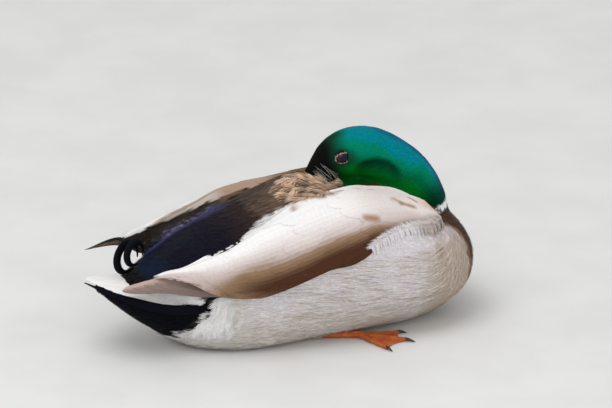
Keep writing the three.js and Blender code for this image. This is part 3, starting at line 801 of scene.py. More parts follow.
# %% Fan, vane and leaf
def grid_of(made, columns, rows):
    return bmesh.ops.create_grid(made, x_segments=columns, y_segments=rows, size=0.5)["verts"]


def pattern_from(made):
    "A pattern as arrays: corners, faces, and the map across and along."
    bmesh.ops.remove_doubles(made, verts=made.verts, dist=1e-4)
    made.verts.index_update()
    corners = np.array([v.co for v in made.verts])
    faces = [[v.index for v in f.verts] for f in made.faces]
    made.free()
    return corners, faces


def fan_pattern(strips, lot, spread=0.5, open_tip=0.3, droop=0.12):
    rng, made = np.random.default_rng(lot), bmesh.new()
    for i in range(strips):
        a = -1 + 2 * i / (strips - 1)
        reach = 1 - open_tip * a * a + rng.uniform(-0.1, 0.04)
        lean, lift = rng.uniform(-0.05, 0.05), 0.03 * (i % 2)
        for vert in grid_of(made, 1, 3):
            t, side = vert.co.y + 0.5, vert.co.x * 2
            half = (0.1 + 0.3 * t) * (1 - t**3) * 1.9 / strips + 1e-6
            across = a * (0.3 + 0.7 * t**0.7) * spread * 0.85 + side * half + lean * t
            vert.co = (across, t * reach, lift - droop * a * a)
    return pattern_from(made)


def vane_pattern(lot):
    rng, made = np.random.default_rng(lot), bmesh.new()
    for vert in grid_of(made, 4, 4):
        t, side = vert.co.y + 0.5, vert.co.x * 2
        half = 0.5 * min(1, 0.35 + 2.2 * t) * (1 - 2.48 * max(0, t - 0.5) ** 2)
        ragged = rng.uniform(-0.05, 0.05) if t > 0.6 else 0
        vert.co = (side * half, t * (1 - 0.2 * side * side * t) + ragged, -0.12 * side * side)
    return pattern_from(made)


def leaf_pattern():
    made = bmesh.new()
    for vert in grid_of(made, 2, 2):
        t, side = vert.co.y + 0.5, vert.co.x * 2
        vert.co = (side * 0.5 * (0.5, 1.0, 0.0)[round(t * 2)], t, -0.15 * abs(side) * (t < 0.9))
    return pattern_from(made)


def wisp_pattern():
    "A single bare barb, thin as a hair."
    made = bmesh.new()
    for vert in grid_of(made, 1, 5):
        t = vert.co.y + 0.5
        vert.co = (vert.co.x * (1 - 0.7 * t * t), t, 0)
    return pattern_from(made)


FANS = [fan_pattern(6, lot) for lot in (11, 12, 13)]
FLUFF = [fan_pattern(7, lot, spread=0.62, open_tip=0.45, droop=0.02) for lot in (21, 22, 23)]
VANES = [vane_pattern(lot) for lot in (31, 32, 33)]
LEAVES = [leaf_pattern()]
WISPS = [wisp_pattern()]
TUFTS = [fan_pattern(11, lot, spread=0.6, open_tip=0.36, droop=0.34) for lot in (51, 52, 53)]
print("faces in a fan, fluff, vane and leaf:", [len(p[0][1]) for p in (FANS, FLUFF, VANES, LEAVES)])

# %% [markdown]
# ## Where feathers are rooted
# Roots are spread as on a plucked bird: even, but never in rows. We throw many random points on a patch
# of skin and drop each that falls too close to one already kept. A patch of skin is also unwrapped, and
# every feather gets a tiny place in the map OFBake at its root's spot on that unwrap, so that its colour
# can be baked.


# %% Unwrap a patch of skin
def unwrap(points, faces):
    "Smart UV project of loose triangles given in mm: the map's corners, face by face."
    used, index = np.unique(faces, return_inverse=True)
    mesh = bpy.data.meshes.new("patch")
    mesh.from_pydata(points[used] / 1000, [], index.reshape(-1, 3).tolist())
    patch = add_object("patch", mesh)
    bpy.ops.object.select_all(action="DESELECT")
    bpy.context.view_layer.objects.active = patch
    patch.select_set(True)
    mesh.uv_layers.new(name="OFBake")
    bpy.ops.object.mode_set(mode="EDIT")
    bpy.ops.mesh.select_all(action="SELECT")
    bpy.ops.uv.smart_project(angle_limit=math.radians(66), island_margin=0.004)
    bpy.ops.object.mode_set(mode="OBJECT")
    corners = np.zeros(len(mesh.loops) * 2)
    mesh.uv_layers["OFBake"].data.foreach_get("uv", corners)
    bpy.data.objects.remove(patch)
    bpy.data.meshes.remove(mesh)
    return corners.reshape(-1, 3, 2)


# %% Throw roots on it
def throw_roots(chosen, gap, lot):
    "Roots on the chosen skin triangles, gap mm apart or gap(points): place, normal, part and map corner."
    rng = np.random.default_rng(lot)
    spacing = gap if callable(gap) else lambda p: np.full(len(p), float(gap))
    faces = skin_faces[chosen]
    corners = skin_mm[faces]
    maps = unwrap(skin_mm, faces)
    area = np.linalg.norm(np.cross(corners[:, 1] - corners[:, 0], corners[:, 2] - corners[:, 0]), axis=1) / 2
    weight = area / spacing(corners.mean(1)) ** 2
    count = int(weight.sum() * 3.2)
    pick = rng.choice(len(faces), count, p=weight / weight.sum())
    a, b = rng.random(count), rng.random(count)
    a, b = np.where(a + b > 1, 1 - a, a), np.where(a + b > 1, 1 - b, b)
    shares = np.stack([1 - a - b, a, b], 1)[..., None]
    points = (corners[pick] * shares).sum(1)
    near = kdtree.KDTree(count)
    for i, p in enumerate(points.tolist()):
        near.insert(p, i)
    near.balance()
    gaps, dropped, kept = spacing(points), np.zeros(count, bool), []
    for i, p in enumerate(points.tolist()):
        if not dropped[i]:
            kept.append(i)
            for _, j, _ in near.find_range(p, gaps[i]):
                dropped[j] = True
    kept = np.array(kept)
    normals = unit((skin_normals[faces[pick[kept]]] * shares[kept]).sum(1))
    return points[kept], normals, part_at[faces[pick[kept], 0]], (maps[pick[kept]] * shares[kept]).sum(1)


# %% The lie of the coat
def lie(p, n, part):
    "The way a feather rooted at p points, along the skin."
    way = np.tile([-1.0, 0, 0], (len(p), 1))
    x, y, z = p.T
    way[:, 2] -= 3.2 * smooth(n[:, 0], 0.25, 0.9)
    way[:, 2] += 0.16 * smooth(x, -60, 40) * smooth(z, 20, 60) * (1 - smooth(n[:, 0], 0.2, 0.5))
    way[:, 2] -= 0.25 * smooth(-60 - x, 0, 30) * smooth(90 - z, 0, 30)
    on = (part == NECK) | (part == HEAD)
    if on.any():
        way[on] = on_neck(p[on])[1]
    way = way - (way * n).sum(1)[:, None] * n
    return unit(way)


def turned(way, normal, angle):
    "Ways turned about normals by angles."
    side = np.cross(normal, way)
    return way * np.cos(angle)[:, None] + side * np.sin(angle)[:, None]


# %% Lay the feathers
def lay_feathers(name, patterns, roots, length, width, lift, lot, stir=0.12, sink=0.35, vary=1.0, curve=0.0,
                 lean=None, tint=None, recolour=None, tips=None, via=None, lines=0.0, material=None):
    """Copies of the patterns at the roots as one mesh. Length, width and lift are in mm, one number or one
    per root. stir turns feathers at random, vary is how much their tones differ, and lean bends the lie.
    tips and via give the places of the tips and of the middles, where those don't follow the lie."""
    rng = np.random.default_rng(lot)
    p, n, part, spot = roots
    count = len(p)
    length = np.broadcast_to(length, count) * rng.uniform(0.85, 1.12, count)
    width = np.broadcast_to(width, count) * rng.uniform(0.88, 1.1, count)
    lift = np.broadcast_to(lift, count) * rng.uniform(0.7, 1.15, count)
    way = lie(p, n, part)
    if lean is not None:
        way = way + lean
        way = unit(way - (way * n).sum(1)[:, None] * n)
    way = turned(way, n, rng.normal(0, 1, count) * stir)
    if tips is None:
        flat_tip = p + way * length[:, None]
        found = [skin_tree.find_nearest(q)[:3] for q in place(flat_tip).tolist()]
        tip = own([hit[0] for hit in found])
        tip_normal = skin_normals[skin_faces[[hit[2] for hit in found], 0]]
    else:
        tip, tip_normal = tips
        way = tip - p - ((tip - p) * n).sum(1)[:, None] * n
        length = np.linalg.norm(way, axis=1)
        way = unit(way)
        flat_tip = p + way * length[:, None]
    across = np.cross(way, n)
    colour = markings_and_shade(p + way * (length * 0.6)[:, None], n, part) if tint is None else tint(p, rng)
    tone = rng.normal(1, 0.035, (count, 1)) ** np.broadcast_to(vary, count)[:, None]
    colour = colour * tone * (1 + rng.normal(0, 0.012, (count, 3)))
    which = rng.integers(len(patterns), size=count)
    places, faces, tints, vanes, spots, base = [], [], [], [], [], 0
    for k, (corners, pattern_faces) in enumerate(patterns):
        mine = np.flatnonzero(which == k)
        u, v, h = corners.T
        v_ = v[None, :, None]
        spine = p[mine, None] + way[mine, None] * (v[None] * length[mine, None])[..., None]
        spine = spine + (tip - flat_tip)[mine, None] * v_**2
        if via is not None:
            spine = (p[mine, None] * (1 - v_) ** 2 + (4 * via - p - tip)[mine, None] * v_ * (1 - v_)
                     + tip[mine, None] * v_**2)
        up = unit(n[mine, None] * (1 - v)[None, :, None] + tip_normal[mine, None] * v[None, :, None])
        rise = ((1 + curve) * v - curve * v**3)[None]
        height = (-sink + (lift[mine, None] + sink) * rise + h[None] * width[mine, None])[..., None]
        at = spine + across[mine, None] * (u[None] * width[mine, None])[..., None] + up * height
        at[..., 2] = np.maximum(at[..., 2], 0.35)
        tint = np.repeat(colour[mine, None], len(v), 1)
        if recolour:
            tint = recolour(tint, u[None], v[None], p[mine], rng)
        faces_here = np.array([f if len(f) == 4 else [*f, -1] for f in pattern_faces])
        offsets = base + np.arange(len(mine))[:, None, None] * len(v)
        faces.append(np.where(faces_here[None] < 0, -1, faces_here[None] + offsets).reshape(-1, 4))
        places.append(at.reshape(-1, 3))
        tints.append(np.clip(tint, 0, 1).reshape(-1, 3))
        vanes.append(np.repeat(np.stack([u + 0.5, v], 1)[None], len(mine), 0).reshape(-1, 2))
        spots.append((spot[mine, None] + np.stack([u, v - 0.5], 1)[None] * 0.003).reshape(-1, 2))
        base += len(mine) * len(v)
    places, faces, tints, vanes, spots = map(np.concatenate, (places, faces, tints, vanes, spots))
    tints = np.hstack([tints, np.full((base, 1), lines)])
    return feather_mesh(name, places, faces, tints, vanes, np.clip(spots, 0, 1), material or down)


# %% One mesh from many copies
def feather_mesh(name, points, faces, tints, vanes, spots, material):
    "Points in duck mm; faces with four corners, the last -1 in a triangle."
    mesh = bpy.data.meshes.new(name)
    corners = np.where(faces[:, 3] < 0, 3, 4)
    loops = faces[faces >= 0]
    mesh.vertices.add(len(points))
    mesh.vertices.foreach_set("co", place(points).ravel())
    mesh.loops.add(len(loops))
    mesh.loops.foreach_set("vertex_index", loops)
    mesh.polygons.add(len(faces))
    mesh.polygons.foreach_set("loop_start", np.concatenate([[0], np.cumsum(corners)[:-1]]))
    mesh.update(calc_edges=True)
    for label, values in (("OFBake", spots), ("Vane", vanes)):
        mesh.uv_layers.new(name=label).data.foreach_set("uv", values[loops].ravel())
    mesh.attributes.new("Tint", "FLOAT_COLOR", "POINT").data.foreach_set("color", tints.ravel())
    mesh.shade_smooth()
    mesh.materials.append(material)
    thing = add_object(name, mesh)
    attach(thing, "root")
    triangles = int((corners - 2).sum())
    made_feathers[name] = triangles
    print(f"{name}: {triangles} triangles")
    return thing


made_feathers = {}

# %% The skin as an object
def skin_finish(wire):
    shade = scaled(wire, attribute(wire, "Tint", 0), 0.72 + 0.22 * speckle(wire, 3))
    bump = bumps(wire, 0.5, 0.6, speckle(wire, 2.5))
    return {"Base Color": shade, "Roughness": 0.7 + 0.2 * speckle(wire, 8), "Normal": bump}


skin_tints = markings_and_shade(skin_mm, skin_normals, part_at)
skin = to_object(net, "skin", finish_of("downy_skin", {"Specular IOR Level": 0.04}, skin_finish))
skin_tints = np.hstack([skin_tints, np.zeros((len(skin_tints), 1))])
skin.data.attributes.new("Tint", "FLOAT_COLOR", "POINT").data.foreach_set("color", skin_tints.ravel())
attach(skin, "root")
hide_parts(*FLESH)
print("skin:", len(skin.data.polygons), "triangles")

# %% [markdown]
# ## The coat, patch by patch
# Each patch of the body has its own kind of feather: leaves on head and neck, loose fans on breast,
# flanks and back, fluff round the vent, and small tight vanes under the large ones of the wings.

# %% Sort the skin into patches
centres = skin_mm[skin_faces].mean(1)
face_normals = unit(skin_normals[skin_faces].sum(1))
face_part = part_at[skin_faces[:, 0]]
cx, cy, cz = centres.T
on_head = (face_part == HEAD) | ((face_part == NECK) & (on_neck(centres)[0] < 0.66))
on_neck_low = (face_part == NECK) & ~on_head
on_wing = (face_part == WING_LEFT) | (face_part == WING_RIGHT)
on_black = face_part == UNDERTAIL
on_trunk = face_part == TRUNK
on_top = on_trunk & (cz > 84) & (np.abs(cy) < 60) & (cx < 95) & (face_normals[:, 2] > 0.15)
on_breast = on_trunk & ~on_top & (cx > 96)
on_vent = on_trunk & ~on_top & (cx + ripple(centres, 10, 12) * 12 < -62)
on_flank = on_trunk & ~on_top & ~on_breast & ~on_vent
patches = {"head": on_head, "neck": on_neck_low, "wings": on_wing, "top": on_top, "breast": on_breast,
           "vent": on_vent, "flank": on_flank, "black": on_black}
print({name: int(patch.sum()) for name, patch in patches.items()})

# %% Head and neck
def keep(roots, chosen):
    return tuple(part[chosen] for part in roots)


BARE_EYE = (8.6, 6.2)  # half the length and height of the oval without feathers round an eye, mm


def eye_gap(p):
    "How far a point lies from the middle of that oval, 1 at its rim."
    dx, dz = p[:, 0] - EYE[0], p[:, 2] - EYE[2]
    away = np.hypot((dx * 0.97 + dz * 0.26) / BARE_EYE[0], (dz * 0.97 - dx * 0.26) / BARE_EYE[1])
    return np.where(np.abs(p[:, 1]) > 8, away, 9)


roots = throw_roots(on_head, lambda p: 0.7 + 0.4 * smooth(on_neck(p)[0], 0.08, 0.35), 1)
roots = keep(roots, eye_gap(roots[0]) > 1.0)
share = on_neck(roots[0])[0]
small = 1.6 + 2.0 * smooth(share, 0.1, 0.45)
lay_feathers("coat_head", LEAVES, roots, small, small * 0.45, 0.12 + 0.2 * smooth(share, 0.1, 0.5), 2,
             stir=0.09, sink=0.1, vary=0.8 + 2.6 * smooth(share, 0.15, 0.6), material=sleek)
roots = throw_roots(on_neck_low, 1.35, 3)
lay_feathers("coat_neck", LEAVES, roots, 4.5, 2.2, 0.7, 4, stir=0.1, sink=0.2, material=sleek)

# %% Breast, flanks and belly
def side_by_side(u, p, rng, strength):
    "Lighter and darker barbs, in another order on each feather."
    return 1 + strength * np.sin(u * 34 + rng.uniform(0, 6.3, (len(p), 1)))


def streaked(share, streaks=0.07):
    "Makes a feather paler at its tip and darker at its root, and streaks its barbs."
    def recolour(tint, u, v, p, rng):
        return tint * ((1 - 0.14 * share + share * 0.24 * v) * side_by_side(u, p, rng, streaks))[..., None]
    return recolour


roots = throw_roots(on_breast, 2.7, 5)
lay_feathers("coat_breast", FANS, roots, 10, 6.5, 1.6, 6, recolour=streaked(1.0), lines=0.35, material=barred)
for side, sign in SIDES.items():
    roots = throw_roots(on_flank & (cy * sign > 0), lambda p: 2.8 + 0.8 * smooth(30 - p[:, 2], 0, 20),
                        7 + sign)
    lay_feathers("coat_flank_" + side, FANS, roots, 12, 6.5, 1.5, 10 + sign, recolour=streaked(1.0),
                 lines=0.75, material=barred)
roots = throw_roots(on_vent, 3.0, 13)
lay_feathers("coat_vent", FLUFF, roots, 13, 6, 2.0, 14, stir=0.2, recolour=streaked(1.0), lines=0.5,
             material=barred)
roots = throw_roots(on_black, 3.0, 15)
lay_feathers("coat_undertail", FANS, roots, 14, 7, 1.2, 16, material=dark)

# %% Mantle, back and rump
on_rump = on_top & (cx < -35)
under_head = (cx > 52) & (cx < 112) & (cz > 140) & (np.abs(cy) < 40)
clear_of_wings = np.abs(cy) < np.interp(cx, [-156, -125, -100, -50, 0], [30, 36, 38, 39, 34])
roots = throw_roots(on_rump & clear_of_wings, 2.8, 17)
lay_feathers("coat_rump", FANS, roots, 13, 7.5, 1.1, 18, stir=0.1, recolour=streaked(0.6, 0.12),
             material=dark)
roots = throw_roots(on_top & ~on_rump & ~under_head, 3.4, 25)
lay_feathers("coat_mantle", FANS, roots, 18, 8, 1.8, 26, stir=0.2, recolour=streaked(1.2, 0.25), vary=3.0)

# %% Small feathers of the wings
for side, sign in SIDES.items():
    roots = throw_roots(on_wing & (cy * sign > 0), 3.4, 19 + sign)
    roots = keep(roots, roots[0][:, 0] > -140)
    lay_feathers("coat_wing_" + side, VANES, roots, 12, 7, 0.3 + 0.8 * smooth(roots[0][:, 0], 96, 118),
                 22 + sign, stir=0.08)
print("coat:", sum(made_feathers.values()), "triangles in", len(made_feathers), "pieces")

# %% [markdown]
# ## Large feathers
# Wing, tail and curls are made of feathers long enough to be seen one by one. Each starts as a flat grid
# and is bent over a guide surface: the wing's outer side, the fan of the tail, or the ribbon of a curl. A
# feather is given by where its root and its tip lie on the guide, its width, and the height of its layer.
# Upper feathers lie over lower ones and front ones over rear ones, so that rain runs off.

# %% One large vane
def flat_grid(columns, rows):
    "Corners, from 0 to 1 across and along, and faces of a flat grid."
    flat = bmesh.new()
    grid_of(flat, columns, rows)
    flat.verts.index_update()
    corners = np.array([v.co for v in flat.verts])[:, :2] + 0.5
    faces = np.array([[v.index for v in f.verts] for f in flat.faces])
    flat.free()
    return corners, faces


def vane_half(s, point):
    "Half the width of a vane along it, 1 at most: narrow at the root and rounded from point to the tip."
    end = np.clip((s - point) / (1 - point), 0, 1)
    return (0.5 + 0.5 * smooth(s, 0, 0.35)) * np.clip(1 - end**2.4, 0, 1) ** 0.62


def guide_normal(guide, a, b):
    "Outward ways of a guide surface, from two small steps on it."
    da, db = guide(a + 1, b) - guide(a - 1, b), guide(a, b + 0.02) - guide(a, b - 0.02)
    return unit(np.cross(da, db))


class Vanes:
    "Collects large vanes and makes one mesh of them."

    def __init__(self, columns=8, rows=22):
        self.points, self.tints = [], []
        self.corners, self.faces = flat_grid(columns, rows)

    def add(self, guide, root, tip, half, height, tint, outward=1, point=0.6, camber=0.2, tile=0.0, sink=1.3,
            limit=None, lot=0):
        """Root and tip are places on the guide: along in mm, and a share across. half(along) is half the
        width as a share, height that of the layer in mm. tile lifts the vane's lower edge, and limit(along)
        is the share that it doesn't pass."""
        rng = np.random.default_rng(500 + lot + 37 * len(self.points))
        u, s = self.corners[:, 0] * 2 - 1, 1 - (1 - self.corners[:, 1]) ** 1.5
        along = root[0] + (tip[0] - root[0]) * s
        middle = root[1] + (tip[1] - root[1]) * s
        waves = ripple(np.stack([s * 40, 0 * s, 0 * s + rng.uniform(0, 99)], 1), 3.0, lot)
        split = np.abs(u) ** 6 * smooth(waves, 0.7, 1.3) * 0.06
        share = middle + u * half(along) * (vane_half(s, point) * (1 - split) + 0.004)
        if limit:
            share = np.minimum(share, limit(along))
        up = guide_normal(guide, along, share) * outward
        layer = height - camber * u * u + tile * u - sink * (1 - s) + 0.08 * (np.abs(u) < 0.1)
        at = guide(along, share) + up * layer[:, None]
        colour = tint(at, up, u, s) * rng.normal(1, 0.015)
        self.points.append(at)
        self.tints.append(np.clip(colour, 0, 1))

    def make(self, name, material, slot, lines=0.0, thick=0.0):
        count, size = len(self.points), len(self.corners)
        cells = math.ceil(math.sqrt(count))
        cell = np.stack([np.arange(count) % cells, np.arange(count) // cells], 1)[:, None]
        spots = ((cell + 0.06 + 0.88 * self.corners[None]) / cells).reshape(-1, 2)
        vanes = np.tile(self.corners, (count, 1))
        faces = (self.faces[None] + np.arange(count)[:, None, None] * size).reshape(-1, 4)
        tints = np.hstack([np.concatenate(self.tints), np.full((count * size, 1), lines)])
        made = feather_mesh(name, np.concatenate(self.points), faces, tints, vanes, spots, material)
        if thick:
            solid = made.modifiers.new("thickness", "SOLIDIFY")
            solid.thickness, solid.offset = thick / 1000, -1
        return made


# %% Finishes for large feathers
silky = feather_finish("silky_wing_feathers", gloss=0.5, barbs=55, lines=26, relief=0.1, faint=0.9,
                       Sheen_Weight=0.02, Specular_IOR_Level=0.12)
flight = feather_finish("flight_feathers", gloss=0.5, barbs=60, lines=20, relief=0.15, shaft_tone=1.8,
                        Specular_IOR_Level=0.12)
quill = feather_finish("tail_feathers", gloss=0.55, barbs=45, lines=20, relief=0.2, Sheen_Weight=0.1)
glossy = feather_finish("black_curled_feathers", gloss=0.36, barbs=60, lines=20, relief=0.15,
                        Specular_IOR_Level=0.05)

# %% Scapulars and tertials over each wing
# root and tip along the wing in mm, how many side by side, width in mm
ROWS = [(-10, -154, 4, 36), (60, -98, 5, 33), (104, -34, 6, 29), (130, 38, 6, 24), (141, 86, 5, 17)]
EDGE_ROWS = [(82, 4), (94, 26), (104, 42)]  # root and tip of three more along the lower edge


def wing_girth(x):
    "The way from the inner to the lower edge along a wing's outer surface, in mm."
    across = wing_at(np.repeat(np.asarray(x, float)[..., None], 9, -1), np.linspace(0, 1, 9), -1)
    return np.linalg.norm(np.diff(across, axis=-2), axis=-1).sum(-1)


def wing_vanes(side):
    sign, vanes = SIDES[side], Vanes(20, 26)

    def guide(x, share):
        "The wing's surface. Below its edge feathers hang straight down; the left one's end is fuller."
        at = wing_at(x, np.minimum(share, 1), sign)
        at[..., 2] -= np.maximum(share - 1, 0) * 66
        if sign > 0:
            at[..., 2] += 2.6 * smooth(-x, 108, 128) * (1 - smooth(-x, 142, 156)) * smooth(share, 0.1, 0.25)
        return at

    def lowest(x):
        return 1 + 0.13 * smooth(x, 8, 46) * (1 - smooth(x, 60, 67))

    def tint(at, up, u, s):
        return wing_colour(at, sign) * (1 - 0.02 * smooth(u, 0.9, 1) - 0.01 * smooth(s, 0.9, 1))[:, None]

    for row, (start, end, count, width) in enumerate(ROWS):
        for k in reversed(range(count)):
            share = (k + 0.5) / count
            root = (start + 6 * math.sin(3.0 * k), 0.08 + 0.84 * share)
            ragged = 16 * math.sin(5.0 * k + 2 * row) if row else 5 * abs(share - 0.4)
            vanes.add(guide, root, (end + ragged, 0.12 + 0.78 * share),
                      lambda x, w=width: np.minimum(w / 2 / wing_girth(x), 0.36), -0.15 + 0.06 * row, tint,
                      outward=sign, point=0.5, tile=0.15, sink=1.5 - 0.25 * row, limit=lowest, lot=row)
    for row, (start, end) in enumerate(EDGE_ROWS):
        vanes.add(guide, (start, 0.9), (end, 1.04), lambda x: np.full_like(x, 0.16), -0.1 + 0.1 * row, tint,
                  outward=sign, sink=1.5, limit=lowest, lot=9 + row)
    return vanes.make("scapulars_" + side, silky, "wing_feathers", lines=0.3)


for side in SIDES:
    wing_vanes(side)

# %% The fan of the tail
# x, half width, height and arch of the tail's upper side
read_tail = smooth_rows([
    (-215, 4, 80, 0.4), (-208, 12, 79, 1.6), (-195, 23, 77, 4), (-175, 35, 74.5, 7.5), (-150, 45, 72, 11),
    (-128, 49, 70, 11.5), (-110, 50, 68, 10),
])


def tail_shape(x):
    return np.moveaxis(read_tail(np.maximum(x, -214.9)), -1, 0)


def tail_at(x, across):
    "A point of the tail's upper side, across in mm from the middle."
    half, z, arch = tail_shape(x)
    share = np.clip(across / half, -1.2, 1.2)
    return np.stack([x + 0 * across, across + 0 * x, z - arch * share**2], -1)


def tail_tint(at, up, u, s):
    side = np.abs(at[:, 1])
    colour = mix(WHITE + 0 * at, SAND, 0.35 * smooth(24 - side, 0, 16) * smooth(0.8 - s, 0, 0.6))
    return colour * (1 - 0.05 * smooth(np.abs(u), 0.8, 1))[:, None]


tail_feathers = Vanes()
for k in range(8, -1, -1):
    for sign in (1, -1):
        across = 2.5 + 5.2 * k
        tip = float(np.interp(across, [0, 4, 12, 23, 35, 45, 50], [-216, -215, -208, -195, -175, -150, -138]))
        root, tip = (-104, sign * (3 + 3.4 * k)), (tip + 1.5, sign * (across - 2))
        tail_feathers.add(tail_at, root, tip, lambda x: np.full_like(x, 10.5), 0.25 - 0.22 * k, tail_tint,
                          camber=0.3, sink=0.8, lot=k)
tail = tail_feathers.make("tail_feathers", quill, "tail_feathers", thick=0.5)
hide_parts("tail")

# %% Primaries
# x, distance from the middle, height, and tilt in degrees
read_primaries = smooth_rows([
    (-186, 38, 78.5, 14), (-170, 40, 79.8, 20), (-150, 43, 80.5, 27), (-125, 49, 78, 38), (-96, 58, 74, 48),
])


def primary_vanes(side):
    sign, vanes = SIDES[side], Vanes()

    def guide(x, across):
        y, z, tilt = np.moveaxis(read_primaries(np.maximum(x, -185)), -1, 0)
        shift = wing_shift(x, sign)
        turn = np.radians(shift[..., 4] - tilt)
        aside = y + across * np.cos(turn) - shift[..., 1]
        return np.stack([x - shift[..., 0], sign * aside, z + across * np.sin(turn) + shift[..., 2]], -1)

    def tint(at, up, u, s):
        if sign > 0:
            return mix(paint(92, 76, 64) + 0 * at, paint(20, 19, 19), smooth(u, 0.1, 0.5))
        # Painted light: the near primaries' taupe is paler towards the upper edge, against the wing's shadow
        # above, and darker towards the lower edge.
        colour = mix(paint(138, 122, 114) + 0 * at, paint(200, 174, 163), smooth(-u, -0.5, 0.8))
        waves = ripple(np.stack([at[:, 0] + 2.2 * at[:, 2], 0 * u, 0 * u], 1), 22, 11)
        pale = smooth(waves, 0.5, 1.0) * smooth(-u, 0, 0.6)
        return mix(colour, paint(226, 190, 168), np.maximum(smooth(-u, 0.86, 1.0) * 0.5, pale * 0.35))

    def half(x):
        return np.full_like(x, 8.3) if sign < 0 else 1.4 + 5.1 * smooth(x, -192, -125)

    slim, drop, point = (1.0, 1.3, 0.74) if sign < 0 else (0.45, 0, 0.7)
    for k in range(5):
        root = (-88, (4.0 - 1.2 * k) * slim - drop)
        tip = (-187 + 11 * k, (1.0 - 0.8 * k) * slim - drop)
        vanes.add(guide, root, tip, half, -1.2 + 0.55 * k, tint, outward=sign, point=point, camber=0.4,
                  sink=0.6, lot=k)
    made = vanes.make("primaries_" + side + "_feathers", flight, "flight_feathers", thick=0.5)
    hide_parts("primaries_" + side)


for side in SIDES:
    primary_vanes(side)

# %% The two curled feathers
# centre x, z and y, first angle, sweep, radius, how much it tightens, half width
CURLS = {"left": (-167.2, 95, 4, -60, 316, 15.6, 0.8, 4.0),
         "right": (-162.2, 102, -5, -74, 312, 12.4, 0.8, 3.7)}
# how far a ribbon leans outwards, and how far a curl turns to the left
FLARE, YAW = math.radians(72), math.radians(28)


def curl(side):
    middle_x, middle_z, middle_y, first, sweep, radius, shrink, half_width = CURLS[side]

    def guide(way, across):
        t = way / 100
        angle = np.radians(first - t * sweep)
        r = radius - shrink * t + across * math.sin(FLARE)
        out, aside = r * np.cos(angle), across * math.cos(FLARE)
        x = middle_x + out * math.cos(YAW) - aside * math.sin(YAW)
        y = middle_y + out * math.sin(YAW) + aside * math.cos(YAW)
        return np.stack([x, y, middle_z + r * np.sin(angle)], -1)

    def half(way):
        blunt_end = np.sqrt(np.clip(1 - (way / 100) ** 6, 0.02, 1))
        return 0.3 + half_width * (0.62 + 0.38 * np.sin(math.pi * way / 100)) * blunt_end

    def tint(at, up, u, s):
        return mix(BLACK * 0.8 + 0 * at, paint(16, 22, 32), smooth(u, -1, 1) * 0.7)

    vanes = Vanes(6, 48)
    vanes.add(guide, (0, 0.0), (99.5, 0.0), half, 0.0, tint, point=0.995, camber=0.5, sink=0.0)
    made = vanes.make("tail_curl_" + side + "_feather", glossy, "curled_feathers", thick=0.6)
    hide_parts("tail_curl_" + side)


for side in CURLS:
    curl(side)

# %% Black coverts beside the tail
def tail_coverts(side, aside, down, shorter):
    "Black feathers along the tail's edge: aside and down from it, and shorter than on the other side, in mm."
    sign, coverts = SIDES[side], Vanes(6, 14)

    def hanging(x, across):
        "A surface that hangs down from the tail's edge; across in mm, downwards."
        edge, z, arch = tail_shape(x)
        return np.stack([x + 0 * across, sign * (edge + 0.12 * across + aside), z - arch - down - across], -1)

    def half(x):
        return 1.6 + 3.2 * smooth(x, -212, -160)

    for k in range(7):
        tip = -216 + 11 * k + shorter
        coverts.add(hanging, (tip + 46, 3.0 + 0.2 * k), (tip, 1.6 + 0.45 * k), half, 0.2 * k,
                    lambda at, up, u, s: BLACK + 0 * at, outward=sign, point=0.5, sink=0.6, lot=k)
    coverts.make("tail_coverts_" + side, dark, "undertail_feathers", thick=0.4)


tail_coverts("right", 0.8, 0.4, 0)
tail_coverts("left", -5, 3.4, 14)

# %% [markdown]
# ## Loose and ruffled feathers
# Where the bird has tucked its bill in, the feathers of the mantle are pushed up into tufts with pale
# curved edges, and a few bare barbs stand over the face. At the shoulder, soft flank feathers reach up
# over the lower edge of the wing, and behind the flank white fluff hangs down beside the black under the
# tail. These are the same cheap patterns as the coat, but larger, turned and lifted.


# %% Ruffled mantle
def near(centre, reach):
    "Skin triangles within an oval round a place, in mm."
    return np.linalg.norm((centres - centre) / reach, axis=1) < 1


def ruffled(p, rng):
    "Tan and buff feathers with brown ones between, browner towards the rump."
    pick = rng.random(len(p)) + 0.4 * smooth(p[:, 0], -20, 12) - 0.2
    colour = mix(MANTLE * 1.6 + 0 * p, paint(226, 190, 160) * 1.15, smooth(pick, -0.05, 0.6))
    return mix(colour, UMBER, (rng.random(len(p)) > 0.88) * 0.5)


def pale_edge(tint, u, v, p, rng):
    edge = np.maximum(smooth(v, 0.66, 0.97), smooth(np.abs(u), 0.3, 0.48)) * 0.65
    body = 0.62 + 0.38 * smooth(v, 0.1, 0.8)
    return mix(tint * body[..., None], paint(232, 210, 186), edge)


tufts = near((22, -14, 155), (38, 27, 17)) & (on_trunk | on_wing) & (0.94 * cx - 0.342 * cy > 0)
roots = throw_roots(tufts, 4.4, 41)
lay_feathers("ruffled_mantle", TUFTS, roots, 19, 14, 4.2, 42, stir=0.42, recolour=pale_edge, tint=ruffled,
             curve=0.9, sink=0.6)

# %% Bare barbs over the face
def barbs(name, roots, rng, back, up, colour, lot):
    "Thin barbs that all lean the same way: back and up in mm from their roots."
    p = roots[0]
    off = [-back * rng.uniform(0.6, 1.2, len(p)), 2 + rng.normal(0, 0.8, len(p))]
    tip = p + np.stack([*off, up * rng.uniform(0.75, 1.15, len(p))], 1)
    front = np.tile(unit(np.array([[-0.2, -1, 0.4]])), (len(p), 1))
    lay_feathers(name, WISPS, roots, 16, 0.26, 3.0, lot, tint=lambda p, rng: colour + 0 * p,
                 tips=(tip, front), via=(p + tip) / 2 + front * 2.5, sink=-2.0)


